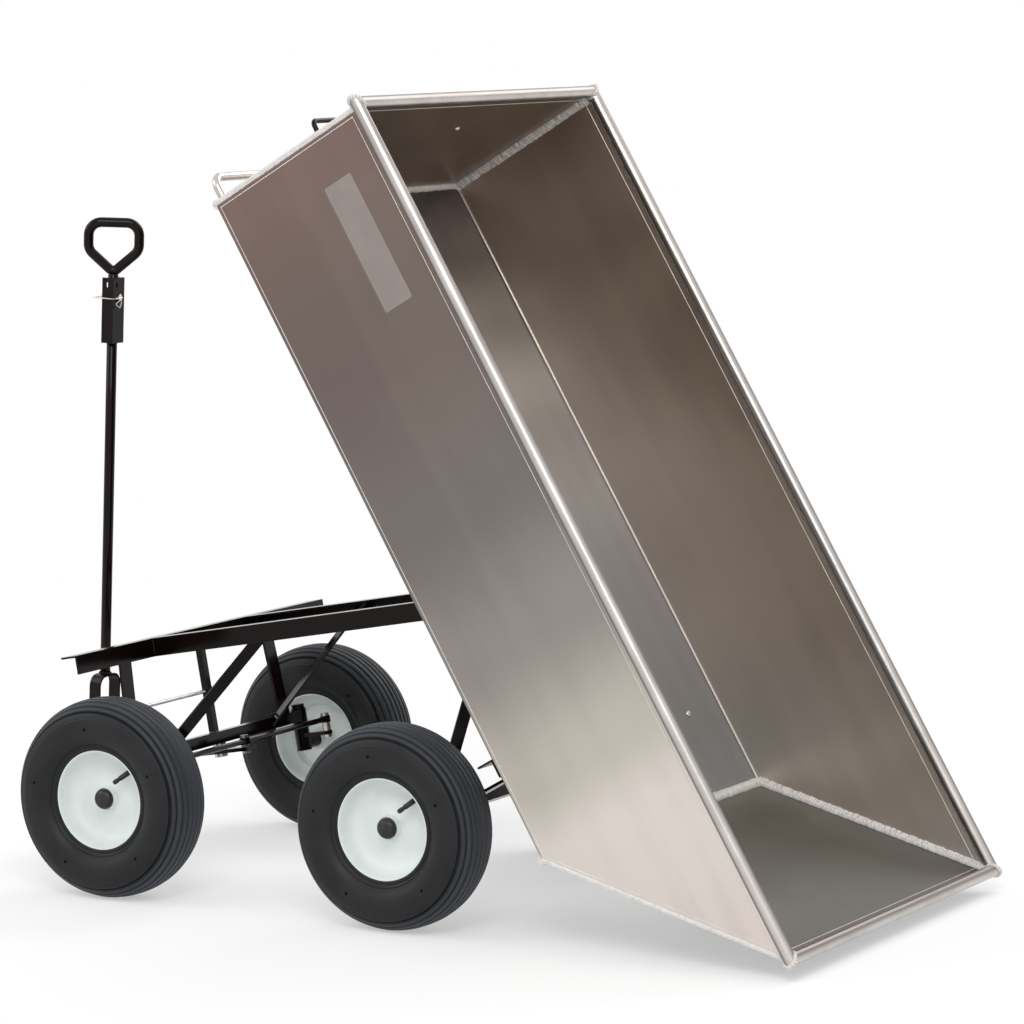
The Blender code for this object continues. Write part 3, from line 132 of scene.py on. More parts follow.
@dataclass(frozen=True)
class Nodes:
    """A shader tree with short ways to add its nodes."""

    tree: bpy.types.NodeTree

    def put(self, value: object, socket: Socket) -> None:
        """Fill an input.

        Args:
            value: Socket to link, or a plain value.
            socket: Input that it goes in.
        """
        if isinstance(value, bpy.types.NodeSocket):
            self.tree.links.new(value, socket)
        else:
            socket.default_value = value

    def add(self, kind: str, inputs: dict[str | int, object] | None = None,
            operation: str = "") -> Node:
        """Add a node and fill its inputs.

        Args:
            kind: Type of the node, without its prefix.
            inputs: Sockets or plain values by the input's name or number.
            operation: What a math node does.

        Returns:
            The new node.
        """
        node = self.tree.nodes.new(f"ShaderNode{kind}")
        if operation:
            node.operation = operation
        for label, value in (inputs or {}).items():
            self.put(value, node.inputs[label])
        return node

    def group(self, name: str, vector: Socket, **inputs: float) -> Node:
        """Place a shared group with its own values.

        Args:
            name: Name of the group.
            vector: Coordinates.
            inputs: Values by input name, with underscores for spaces.

        Returns:
            The group node.
        """
        node = self.add("Group")
        node.node_tree = bpy.data.node_groups[name]
        self.put(vector, node.inputs["Vector"])
        for label, value in inputs.items():
            self.put(value, node.inputs[label.replace("_", " ")])
        return node

    def math(self, operation: str, first: object, second: object = 0.0,
             clamp: bool = False) -> Socket:
        """Add a math node.

        Args:
            operation: Blender's name of the operation.
            first: Socket or number.
            second: Socket or number.
            clamp: Whether the result stays between 0 and 1.

        Returns:
            The result's socket.
        """
        node = self.add("Math", {0: first, 1: second}, operation)
        node.use_clamp = clamp
        return node.outputs[0]

    def span(self, value: Socket, low: float, high: float, to_low: float = 0.0,
             to_high: float = 1.0) -> Socket:
        """Map a value from one range to another, clamped and smooth at its ends.

        Args:
            value: Value to map.
            low: Value that gives to_low.
            high: Value that gives to_high.
            to_low: Result at low.
            to_high: Result at high.

        Returns:
            The result's socket.
        """
        node = self.add("MapRange", {"Value": value, "From Min": low, "From Max": high,
                                     "To Min": to_low, "To Max": to_high})
        node.interpolation_type = "SMOOTHSTEP"
        return node.outputs["Result"]

    def noise(self, vector: Socket, scale: object, detail: float,
              roughness: float = 0.55) -> Socket:
        """Noise at the given coordinates."""
        return self.add("TexNoise", {"Vector": vector, "Scale": scale, "Detail": detail,
                                     "Roughness": roughness}).outputs["Fac"]

    def axes(self, vector: Socket) -> list[Socket]:
        """The three parts of a vector."""
        return list(self.add("SeparateXYZ", {0: vector}).outputs)

    def tub_frame(self, vector: Socket, origin: Triple = (0.0, 0.0, 0.0)) -> Socket:
        """Turn a vector into the tub's own frame.

        Args:
            vector: Vector in the wagon's frame.
            origin: Place of the frame's origin, for coordinates.

        Returns:
            The turned vector's socket.
        """
        node = self.add("Mapping", {"Vector": vector, "Location": origin,
                                    "Rotation": (0.0, TUB_TILT, 0.0)})
        node.vector_type = "TEXTURE"
        return node.outputs["Vector"]

    def mix(self, factor: Socket, first: object, second: object) -> Socket:
        """Mix two colours.

        Args:
            factor: Share of the second colour.
            first: Socket or colour.
            second: Socket or colour.

        Returns:
            The mixed colour's socket.
        """
        node = self.tree.nodes.new("ShaderNodeMix")
        node.data_type = "RGBA"
        self.put(factor, node.inputs["Factor"])
        for index, value in ((6, first), (7, second)):
            plain = not isinstance(value, bpy.types.NodeSocket)
            self.put((*value, 1.0) if plain else value, node.inputs[index])
        return node.outputs[2]


def new_group(name: str, inputs: dict[str, float],
              outputs: tuple[str, ...]) -> tuple[Nodes, Node, Node]:
    """Start a shader node group that takes coordinates and some numbers.

    Args:
        name: Name of the group.
        inputs: Number inputs and their usual values.
        outputs: Names of the number outputs.

    Returns:
        The group's tree, its input node and its output node.
    """
    tree = bpy.data.node_groups.new(name, "ShaderNodeTree")
    for label, value in inputs.items():
        socket = tree.interface.new_socket(label, in_out="INPUT", socket_type="NodeSocketFloat")
        socket.default_value = value
    for label in outputs:
        tree.interface.new_socket(label, in_out="OUTPUT", socket_type="NodeSocketFloat")
    tree.interface.new_socket("Vector", in_out="INPUT", socket_type="NodeSocketVector")
    return Nodes(tree), tree.nodes.new("NodeGroupInput"), tree.nodes.new("NodeGroupOutput")


def build_shared_groups() -> None:
    """Build the node groups that several finishes use."""
    nodes, source, result = new_group("mottle", {"Scale": 6.0, "Fine Scale": 60.0},
                                      ("Large", "Fine"))
    for label, scale, detail in (("Large", "Scale", 3.0), ("Fine", "Fine Scale", 5.0)):
        nodes.put(nodes.noise(source.outputs["Vector"], source.outputs[scale], detail),
                  result.inputs[label])

    nodes, source, result = new_group("edge_wear", {"Amount": 0.5}, ("Mask",))
    bevel = nodes.add("Bevel", {"Radius": 0.002})
    bevel.samples = 4
    facing = nodes.add("VectorMath", {0: bevel.outputs["Normal"],
                                      1: nodes.add("NewGeometry").outputs["Normal"]},
                       "DOT_PRODUCT")
    edge = nodes.span(facing.outputs["Value"], 0.995, 0.80)
    patches = nodes.span(nodes.noise(source.outputs["Vector"], 90.0, 4.0), 0.42, 0.62)
    worn = nodes.math("MULTIPLY", edge, patches)
    nodes.put(nodes.math("MULTIPLY", worn, source.outputs["Amount"], True),
              result.inputs["Mask"])

    nodes, source, result = new_group("settled_dust", {"Amount": 0.3}, ("Mask",))
    upward = nodes.span(nodes.axes(nodes.add("NewGeometry").outputs["Normal"])[2], 0.1, 1.0)
    cloud = nodes.span(nodes.noise(source.outputs["Vector"], 28.0, 6.0), 0.35, 0.75)
    settled = nodes.math("MULTIPLY", upward, cloud)
    nodes.put(nodes.math("MULTIPLY", settled, source.outputs["Amount"], True),
              result.inputs["Mask"])

    nodes, source, result = new_group("rolled_grain", {}, ("Height", "Streak"))
    stretched = nodes.add("Mapping", {"Vector": source.outputs["Vector"],
                                      "Scale": (0.12, 6.0, 6.0)}).outputs["Vector"]
    nodes.put(nodes.noise(stretched, 30.0, 6.0, 0.7), result.inputs["Height"])
    nodes.put(nodes.noise(stretched, 3.0, 2.0), result.inputs["Streak"])


@dataclass(frozen=True)
class Finish:
    """A finish with mottled colour, worn edges, settled dust and a fine bump."""

    name: str
    slot: Slot
    roughness: float
    roughness_spread: float
    light: Color = (0.0, 0.0, 0.0)
    dark: Color = (0.0, 0.0, 0.0)
    metallic: float = 0.0
    specular: float = 0.5
    large_scale: float = 6.0
    fine_scale: float = 120.0
    fine_mix: float = 0.25
    bump: float = 0.0002
    wear: float = 0.0
    wear_color: Color = (0.42, 0.40, 0.38)
    dust: float = 0.0
    dust_color: Color = (0.30, 0.27, 0.23)
    grain: float = 0.0
    on_tub: bool = False

    def build(self) -> bpy.types.Material:
        """Make the material, or return the one already made.

        Returns:
            The material.
        """
        if self.name in bpy.data.materials:
            return bpy.data.materials[self.name]
        material = bpy.data.materials.new(self.name)
        material.use_nodes = True
        nodes = Nodes(material.node_tree)
        place = nodes.add("TexCoord").outputs["Object"]
        if self.on_tub:
            place = nodes.tub_frame(place, TUB_ORIGIN)
        mottle = nodes.group("mottle", place, Scale=self.large_scale, Fine_Scale=self.fine_scale)
        large, height = mottle.outputs["Large"], mottle.outputs["Fine"]
        blend = nodes.math("ADD", nodes.math("MULTIPLY", height, self.fine_mix),
                           nodes.math("MULTIPLY", large, 1.0 - self.fine_mix))
        if self.grain > 0.0:
            grain = nodes.group("rolled_grain", place)
            grain_and_highlight_streak = nodes.math("MULTIPLY", grain.outputs["Streak"], self.grain)
            blend = nodes.math("ADD", nodes.math("MULTIPLY", blend, 1.0 - self.grain), grain_and_highlight_streak)
            height = grain.outputs["Height"]
        color = self.tone(nodes, place, nodes.span(blend, *MOTTLE_SPAN))
        for group, amount, tint in (("settled_dust", self.dust, self.dust_color),
                                    ("edge_wear", self.wear, self.wear_color)):
            if amount > 0.0:
                mask = nodes.group(group, place, Amount=amount).outputs["Mask"]
                color = nodes.mix(mask, color, tint)
        rough = nodes.span(large, *ROUGHNESS_SPAN, self.roughness - self.roughness_spread,
                           self.roughness + self.roughness_spread)
        bump = nodes.add("Bump", {"Distance": self.bump, "Strength": BUMP_STRENGTH,
                                  "Height": height})
        shader = nodes.tree.nodes["Principled BSDF"]
        for label, value in (("Base Color", color), ("Roughness", rough),
                             ("Metallic", self.metallic), ("Specular IOR Level", self.specular),
                             ("Normal", bump.outputs["Normal"])):
            nodes.put(value, shader.inputs[label])
        return material

    def tone(self, nodes: Nodes, place: Socket, blend: Socket) -> Socket:
        """Colour before dust and wear.

        Args:
            nodes: Tree of the material.
            place: Coordinates, in the tub's frame for what is on the tub. Not used.
            blend: Mottle between 0 and 1.

        Returns:
            The colour's socket.
        """
        return nodes.mix(blend, self.dark, self.light)


@dataclass(frozen=True)
class FadeFinish(Finish):
    """Mill sheet whose painted light and shade run along the tub through a set of colour stops."""

    outside: Stops = ()
    length: float = 1.8200
    start: float = -0.9050

    def ramp(self, nodes: Nodes, place: Socket, stops: Stops, blend: Socket) -> Socket:
        """Painted light and shade, by the share of the way from the tub's front to its rear lip.

        Args:
            nodes: Tree of the material.
            place: Coordinates in the tub's frame.
            stops: Shares of the way and their colours.
            blend: Mottle between 0 and 1.

        Returns:
            The colour's socket.
        """
        along = nodes.math("DIVIDE", nodes.math("SUBTRACT", nodes.axes(place)[0], self.start),
                           self.length, True)
        ramp = nodes.add("ValToRGB", {"Fac": along})
        ramp.color_ramp.interpolation = "EASE"
        elements = ramp.color_ramp.elements
        for element, (spot, color) in zip(elements, (stops[0], stops[-1])):
            element.position = spot
            element.color = (*color, 1.0)
        for spot, color in stops[1:-1]:
            elements.new(spot).color = (*color, 1.0)
        mottled = nodes.span(blend, 0.0, 1.0, 0.95, 1.05)
        return nodes.add("VectorMath", {0: ramp.outputs["Color"], "Scale": mottled},
                         "SCALE").outputs[0]

    def tone(self, nodes: Nodes, place: Socket, blend: Socket) -> Socket:
        """Painted light and shade by the place along the tub."""
        return self.ramp(nodes, place, self.outside, blend)


@dataclass(frozen=True)
class SheetFinish(FadeFinish):
    """Mill sheet with its own run of painted light and shade outside, on the inner walls and on
    the floor.
    """

    wall: Stops = ()
    bottom: Stops = ()
    half_width: float = 0.4615
    floor: float = 0.0218
    bend_from: float = 0.0245
    bend_to: float = 0.0290

    def tone(self, nodes: Nodes, place: Socket, blend: Socket) -> Socket:
        """Painted light and shade by the place along the tub and the side of the sheet.

        Args:
            nodes: The node tree to add to.
            place: Place of the point in the object's own frame.
            blend: Mix of the mottle, from 0 to 1.

        Returns:
            The colour socket.
        """
        outside, wall, bottom = (self.ramp(nodes, place, stops, blend)
                                 for stops in (self.outside, self.wall, self.bottom))
        _, across, up = nodes.axes(place)
        inner = nodes.mix(nodes.span(up, self.bend_from, self.bend_to), bottom, wall)
        inside = nodes.math("LESS_THAN", nodes.math("ABSOLUTE", across), self.half_width)
        above = nodes.math("GREATER_THAN", up, self.floor)
        return nodes.mix(nodes.math("MULTIPLY", inside, above), outside, inner)


@dataclass(frozen=True)
class TyreFinish(Finish):
    """Rubber with a painted bluish sheen on its tread ribs, paler than its side walls."""

    # Painted sheen: the bluer, paler colour of the tread ribs.
    tread: Color = (0.036, 0.041, 0.048)
    track: float = 0.4065
    tread_half_width: float = 0.0480
    wall_from: float = 0.0630
    axles: tuple[float, float] = (-0.6252, 0.0425)
    axle_height: float = 0.2012
    bead_radius: float = 0.1480
    shoulder_radius: float = 0.1720

    def tone(self, nodes: Nodes, place: Socket, blend: Socket) -> Socket:
        """Painted bluish sheen on the tread, by the distances from the wheel's middle plane and
        from its axle.

        Args:
            nodes: The node tree to add to.
            place: Place of the point in the object's own frame.
            blend: Mix of the mottle, from 0 to 1.

        Returns:
            The colour socket.
        """
        ahead, across, up = nodes.axes(place)
        side = nodes.math("SUBTRACT", nodes.math("ABSOLUTE", across), self.track)
        wall = nodes.span(nodes.math("ABSOLUTE", side), self.tread_half_width, self.wall_from)
        front, rear = (nodes.math("ABSOLUTE", nodes.math("SUBTRACT", ahead, axle))
                       for axle in self.axles)
        reach = nodes.math("MINIMUM", front, rear)
        level = nodes.math("SUBTRACT", up, self.axle_height)
        square = nodes.math("ADD", nodes.math("MULTIPLY", reach, reach),
                            nodes.math("MULTIPLY", level, level))
        inner = nodes.span(nodes.math("SQRT", square), self.shoulder_radius, self.bead_radius)
        return nodes.mix(nodes.math("MAXIMUM", wall, inner), self.tread,
                         nodes.mix(blend, self.dark, self.light))


@dataclass(frozen=True)
class TubeFinish(Finish):
    """Drawn tube with a painted highlight along its length and painted shade on its sides."""

    # Painted highlight: normals along this axis get the tube's colour, and normals across it get
    # the painted shade colour below.
    grain_and_highlight_streak: Triple = (0.0, -0.87, 0.49)
    painted_flank_shade: Color = (0.23, 0.20, 0.185)

    def tone(self, nodes: Nodes, place: Socket, blend: Socket) -> Socket:
        """Colour by the side of the tube that a point is on: painted highlight where the normal
        lines up with the highlight axis, painted shade where it lies across it.

        Args:
            nodes: The node tree to add to.
            place: Place of the point in the object's own frame. Not used.
            blend: Mix of the mottle, from 0 to 1.

        Returns:
            The colour socket.
        """
        turned = nodes.tub_frame(nodes.add("TexCoord").outputs["Normal"])
        side = nodes.add("VectorMath", {0: turned, 1: self.grain_and_highlight_streak}, "DOT_PRODUCT")
        # Share of the painted highlight against the painted shade, by how the normal faces the
        # highlight axis.
        face = nodes.span(nodes.math("ABSOLUTE", side.outputs["Value"]), 0.45, 1.0)
        return nodes.mix(face, self.painted_flank_shade, nodes.mix(blend, self.dark, self.light))


# Painted light and shade on the mill sheet, as colour stops from the tub's front to its rear lip.
# Outside is a painted reflection of the floor, paler towards the lip; the inner walls and floor
# carry painted light and shade.
OUTSIDE_PAINTED_SHADING = ((0.0, (0.205, 0.145, 0.127)), (0.24, (0.171, 0.138, 0.124)),
                 (0.42, (0.198, 0.173, 0.157)), (0.57, (0.285, 0.255, 0.235)),
                 (0.71, (0.50, 0.46, 0.41)), (0.79, (0.67, 0.62, 0.57)),
                 (1.0, (0.66, 0.59, 0.55)))
WALL_PAINTED_SHADING = ((0.0, (0.66, 0.56, 0.47)), (0.10, (0.70, 0.59, 0.485)), (0.20, (0.66, 0.55, 0.445)),
              (0.30, (0.47, 0.385, 0.305)), (0.42, (0.54, 0.445, 0.36)),
              (0.60, (0.58, 0.49, 0.40)), (0.76, (0.63, 0.55, 0.475)),
              (0.84, (0.83, 0.76, 0.68)), (1.0, (0.98, 0.92, 0.86)))
FLOOR_PAINTED_SHADING = ((0.03, (0.135, 0.126, 0.135)), (0.10, (0.050, 0.048, 0.047)),
               (0.18, (0.078, 0.079, 0.081)), (0.29, (0.203, 0.215, 0.235)),
               (0.41, (0.215, 0.233, 0.262)), (0.54, (0.184, 0.196, 0.225)),
               (0.71, (0.166, 0.182, 0.202)), (0.79, (0.182, 0.202, 0.222)))
# Painted shade on the outside of the rear panel, darker towards the lip.
REAR_PAINTED_SHADE = ((0.78, (0.208, 0.215, 0.205)), (0.84, (0.150, 0.147, 0.136)),
              (0.90, (0.124, 0.120, 0.110)), (1.0, (0.084, 0.079, 0.073)))

POWDER = Finish("powder_coat_black", Slot.POWDER, 0.15, 0.03, (0.0065, 0.0032, 0.0022),
                (0.003, 0.0014, 0.001), specular=0.15, fine_scale=420.0, bump=0.0001, wear=0.3,
                wear_color=(0.10, 0.07, 0.055), dust=0.03, dust_color=(0.10, 0.07, 0.06))
GLOSS = Finish("gloss_coat_black", Slot.POWDER, 0.11, 0.02, (0.0080, 0.0036, 0.0024),
               (0.004, 0.0017, 0.0012), specular=0.16, fine_scale=420.0, bump=0.00008, wear=0.15,
               wear_color=(0.08, 0.06, 0.05))
SHEET = SheetFinish("mill_sheet", Slot.SHEET, 0.34, 0.04, metallic=1.0, large_scale=2.2,
                    fine_scale=200.0, fine_mix=0.15, bump=0.00003, grain=0.35, on_tub=True,
                    outside=OUTSIDE_PAINTED_SHADING, wall=WALL_PAINTED_SHADING, bottom=FLOOR_PAINTED_SHADING)
SHEET_FRONT = Finish("mill_sheet_front", Slot.SHEET, 0.36, 0.04, (0.44, 0.36, 0.30),
                     (0.38, 0.31, 0.255), metallic=1.0, large_scale=2.6, fine_scale=200.0,
                     fine_mix=0.15, bump=0.00003, grain=0.3, on_tub=True)
SHEET_REAR = FadeFinish("mill_sheet_rear", Slot.SHEET, 0.46, 0.04, metallic=1.0, large_scale=2.6,
                        fine_scale=200.0, fine_mix=0.15, bump=0.00003, grain=0.3, on_tub=True,
                        outside=REAR_PAINTED_SHADE)
# Bright colour of the raised hems, also used for the painted highlight along the inner bends.
HEM_AND_BEND_HIGHLIGHT = Finish("bright_hem_and_bend_highlight", Slot.SHEET, 0.34, 0.05, (0.80, 0.77, 0.74), (0.66, 0.63, 0.60),
             metallic=0.5, large_scale=20.0, fine_scale=300.0, fine_mix=0.3, bump=0.00002)
PLATE = Finish("bare_grey_plate", Slot.SHEET, 0.42, 0.05, (0.272, 0.236, 0.217),
               (0.248, 0.216, 0.198), specular=0.2, large_scale=12.0, fine_scale=300.0,
               fine_mix=0.2, bump=0.00004, on_tub=True)
TUBE_ALONG = TubeFinish("drawn_tube_along", Slot.TUBE, 0.32, 0.04, (0.60, 0.57, 0.545),
                        (0.48, 0.455, 0.43), metallic=1.0, large_scale=9.0, fine_scale=240.0,
                        fine_mix=0.3, bump=0.00004, grain=0.3, on_tub=True)
# The same painted highlight and shade, with the axis turned for the tubes that run across the tub.
TUBE_ACROSS = replace(TUBE_ALONG, name="drawn_tube_across", grain_and_highlight_streak=(0.82, 0.0, 0.57))
TUBE = Finish("bent_tube_aluminium", Slot.TUBE, 0.26, 0.05, (0.62, 0.60, 0.58),
              (0.46, 0.44, 0.42), metallic=1.0, large_scale=9.0, fine_scale=240.0, fine_mix=0.3,
              bump=0.00004)
WELD = Finish("weld_aluminium", Slot.TUBE, 0.42, 0.06, (0.72, 0.70, 0.68), (0.60, 0.58, 0.56),
              metallic=0.1, large_scale=90.0, fine_scale=600.0, fine_mix=0.5, bump=0.0001)
ENAMEL = Finish("rim_enamel", Slot.ENAMEL, 0.44, 0.05, (0.74, 0.79, 0.77), (0.69, 0.735, 0.715),
                specular=0.35, large_scale=9.0, fine_scale=300.0, bump=0.00006, wear=0.12,
                wear_color=(0.42, 0.40, 0.37), dust=0.06)
TYRE = TyreFinish("ribbed_tyre_rubber", Slot.TYRE, 0.50, 0.07, (0.0118, 0.0120, 0.0136),
                  (0.0066, 0.0069, 0.0080), specular=0.28, large_scale=14.0, fine_scale=500.0,
                  bump=0.00025, dust=0.08, dust_color=(0.05, 0.05, 0.052))
# Painted shade: dark discs stand in for the shadowed vent holes in the side walls.
VENT_HOLE_SHADE = Finish("vent_hole_painted_shade", Slot.TYRE, 0.6, 0.05, (0.004, 0.004, 0.0045),
             (0.002, 0.002, 0.002), specular=0.05, large_scale=30.0, fine_scale=600.0)
RUBBER = Finish("moulded_black_rubber", Slot.RUBBER, 0.36, 0.08, (0.020, 0.020, 0.019),
                (0.010, 0.010, 0.010), specular=0.35, large_scale=30.0, fine_scale=600.0,
                dust=0.10)
ZINC = Finish("zinc_plated_steel", Slot.ZINC, 0.28, 0.07, (0.62, 0.61, 0.59), (0.40, 0.39, 0.37),
              metallic=1.0, large_scale=40.0, fine_scale=500.0, fine_mix=0.4, bump=0.0001)


# Mesh tools

def spokes(steps: int, closed: bool = False) -> Points:
    """Points of a unit circle.

    Args:
        steps: Steps round the circle.
        closed: Whether the first point comes once more at the end.

    Returns:
        The points in order.
    """
    angles = [FULL_TURN * step / steps for step in range(steps + closed)]
    return [(math.cos(angle), math.sin(angle)) for angle in angles]


def revolve(mesh: Mesh, profile: Points, segments: int, ring: bool = False,
            place: Matrix = Matrix.Identity(4)) -> None:
    """Spin a profile of (radius, height) points about local Z into the mesh.

    Args:
        mesh: Mesh that the faces go in.
        profile: Points of the section.
        segments: Steps round the axis.
        ring: Whether the profile closes on itself.
        place: Matrix applied to the result.
    """
    rows: list[list[bmesh.types.BMVert]] = []
    for radius, height in profile:
        if radius < 1e-6:
            rows.append([mesh.verts.new(place @ Vector((0.0, 0.0, height)))] * segments)
        else:
            rows.append([mesh.verts.new(place @ Vector((radius * out, radius * up, height)))
                         for out, up in spokes(segments)])
    pairs = list(zip(rows, rows[1:]))
    if ring:
        pairs.append((rows[-1], rows[0]))
    for upper, lower in pairs:
        for step in range(segments):
            after = (step + 1) % segments
            corners = [upper[step], lower[step], lower[after], upper[after]]
            unique = list(dict.fromkeys(corners))
            if len(unique) > 2:
                mesh.faces.new(unique)


def sweep(mesh: Mesh, points: list[Vector], radii: float | list[float], segments: int,
          closed: bool = False) -> None:
    """Sweep a circle along a path, with flat caps on open ends.

    Args:
        mesh: Mesh that the faces go in.
        points: Points of the path.
        radii: Radius of the tube, or its radius at each point.
        segments: Sides of the tube.
        closed: Whether the path is a loop.
    """
    count = len(points)
    if isinstance(radii, float):
        radii = [radii] * count
    rings = []
    side = None
    for index, spot in enumerate(points):
        before = points[index - 1] if index or closed else spot
        after = points[(index + 1) % count] if index < count - 1 or closed else spot
        along = (after - before).normalized()
        if side is None:
            side = along.orthogonal().normalized()
        side = (side - along * side.dot(along)).normalized()
        other = along.cross(side)
        rings.append([mesh.verts.new(spot + (side * out + other * up) * radii[index])
                      for out, up in spokes(segments)])
    pairs = list(zip(rings, rings[1:]))
    if closed:
        last, first = rings[-1], rings[0]
        shift = min(range(segments), key=lambda k: (last[0].co - first[k].co).length)
        pairs.append((last, first[shift:] + first[:shift]))
    for near, far in pairs:
        for step in range(segments):
            after = (step + 1) % segments
            mesh.faces.new((near[step], near[after], far[after], far[step]))
    if not closed:
        mesh.faces.new(list(reversed(rings[0])))
        mesh.faces.new(rings[-1])


def rounded(corners: list[Triple], steps: int = 8,
            closed: bool = False) -> Points:
    """Points through (x, y, radius) corners, each rounded by its radius.

    Args:
        corners: Corners of the path.
        steps: Steps round each corner.
        closed: Whether the path is a loop.

    Returns:
        The path's points.
    """
    points: Points = []
    count = len(corners)
    for index, (x, y, radius) in enumerate(corners):
        here = Vector((x, y))
        if radius == 0.0 or (not closed and index in (0, count - 1)):
            points.append((x, y))
            continue
        before = (Vector(corners[index - 1][:2]) - here).normalized()
        after = (Vector(corners[(index + 1) % count][:2]) - here).normalized()
        half = before.angle(after) / 2.0
        middle = here + (before + after).normalized() * radius / math.sin(half)
        first = here + before * radius / math.tan(half) - middle
        turn = first.angle_signed(here + after * radius / math.tan(half) - middle)
        points += [tuple(middle + Matrix.Rotation(-turn * step / steps, 2) @ first)
                   for step in range(steps + 1)]
    return points


def extrude_outline(mesh: Mesh, outline: Points, low: float, high: float, bevel: float = 0.0,
                    place: Matrix = Matrix.Identity(4)) -> None:
    """Extrude a flat outline in local XY along local Z.

    Args:
        mesh: Mesh that the faces go in.
        outline: Corners of the outline.
        low: Lower height.
        high: Upper height.
        bevel: Width of the bevel on its edges, or 0 for none.
        place: Matrix applied to the result.
    """
    bottom, top = ([mesh.verts.new(place @ Vector((x, y, level))) for x, y in outline]
                   for level in (low, high))
    faces = [mesh.faces.new(bottom), mesh.faces.new(list(reversed(top)))]
    for index in range(len(outline)):
        after = (index + 1) % len(outline)
        faces.append(mesh.faces.new((bottom[after], bottom[index], top[index], top[after])))
    if bevel > 0.0:
        edges = list({edge for face in faces for edge in face.edges
                      if edge.calc_face_angle(0.0) > BEVELLED_ANGLE})
        bmesh.ops.recalc_face_normals(mesh, faces=faces)
        bmesh.ops.bevel(mesh, geom=edges, offset=bevel, segments=2, affect="EDGES", profile=0.5,
                        clamp_overlap=True)


def hexagon(radius: float) -> Points:
    """Corners of a hexagon whose corners lie at a radius."""
    return [(radius * math.cos(math.pi / 3.0 * k), radius * math.sin(math.pi / 3.0 * k))
            for k in range(6)]


def weld_bead(mesh: Mesh, start: Vector, end: Vector, radius: float, pitch: float,
              seed: int) -> None:
    """Lay a weld bead of overlapping scales from one point to another.

    Args:
        mesh: Mesh that the faces go in.
        start: First point of the bead's line.
        end: Last point of the bead's line.
        radius: Radius of the bead.
        pitch: Length of one scale.
        seed: Seed of its small irregularities.
    """
    chance = random.Random(seed)
    length = (end - start).length
    scales = max(3, round(length / pitch))
    along = (end - start) / length
    side = along.orthogonal().normalized()
    points = []
    radii = []
    for scale in range(scales):
        size = radius * chance.uniform(0.93, 1.07)
        drift = side * chance.uniform(-0.05, 0.05) * radius
        for share, swell in BEAD_SCALE:
            points.append(start + along * length * (scale + share) / scales + drift)
            radii.append(size * swell)
    sweep(mesh, points, radii, BEAD_SIDES)


def weld_chain(mesh: Mesh, path: list[Vector], radius: float, pitch: float) -> None:
    """Lay one short weld bead after another along a path."""
    for seed, (start, end) in enumerate(zip(path, path[1:])):
        weld_bead(mesh, start, end, radius, pitch, seed)


def dress(nodes: tuple[str, ...], finish: Finish, bevel: float) -> None:
    """Give carried-over nodes their finish and soft edges.

    Args:
        nodes: Names of the CAD nodes.
        finish: Finish that they wear.
        bevel: Width of their rounded edges.
    """
    for node in nodes:
        piece = frame["nodes"][node]
        piece.data.materials.clear()
        piece.data.materials.append(finish.build())
        edge = piece.modifiers.new("soft_edges", "BEVEL")
        edge.width = bevel
        edge.segments = 2
        edge.limit_method = "ANGLE"
        edge.angle_limit = SOFTENED_ANGLE
        edge.harden_normals = False
        log.info("%s dressed in %s", node, finish.name)


# Sub-assemblies

@dataclass
class Assembly:
    """Pieces that share a local frame and ride on one body."""

    body: str

    def place(self) -> Matrix:
        """Matrix of the local frame."""
        return Matrix.Identity(4)

    def add(self, name: str, mesh: Mesh, finish: Finish, replaced: str = "",
            sharp: float = 35.0, place: Matrix | None = None) -> None:
        """Put a built mesh in the scene, dressed and riding on the body.

        Args:
            name: Name of the piece.
            mesh: Its shape in the local frame.
            finish: Finish that it wears.
            replaced: CAD node that it stands for.
            sharp: Angle in degrees above which an edge stays crisp.
            place: Matrix of a local frame of its own.
        """
        bmesh.ops.remove_doubles(mesh, verts=mesh.verts, dist=MERGE_DISTANCE)
        bmesh.ops.recalc_face_normals(mesh, faces=mesh.faces)
        mesh.transform(place or self.place())
        data = bpy.data.meshes.new(name)
        mesh.to_mesh(data)
        mesh.free()
        data.shade_smooth()
        data.set_sharp_from_angle(angle=math.radians(sharp))
        data.materials.append(finish.build())
        piece = add_object(name, data)
        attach(piece, self.body)
        if replaced:
            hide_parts(replaced)
        log.info("%s: %d faces", name, len(data.polygons))


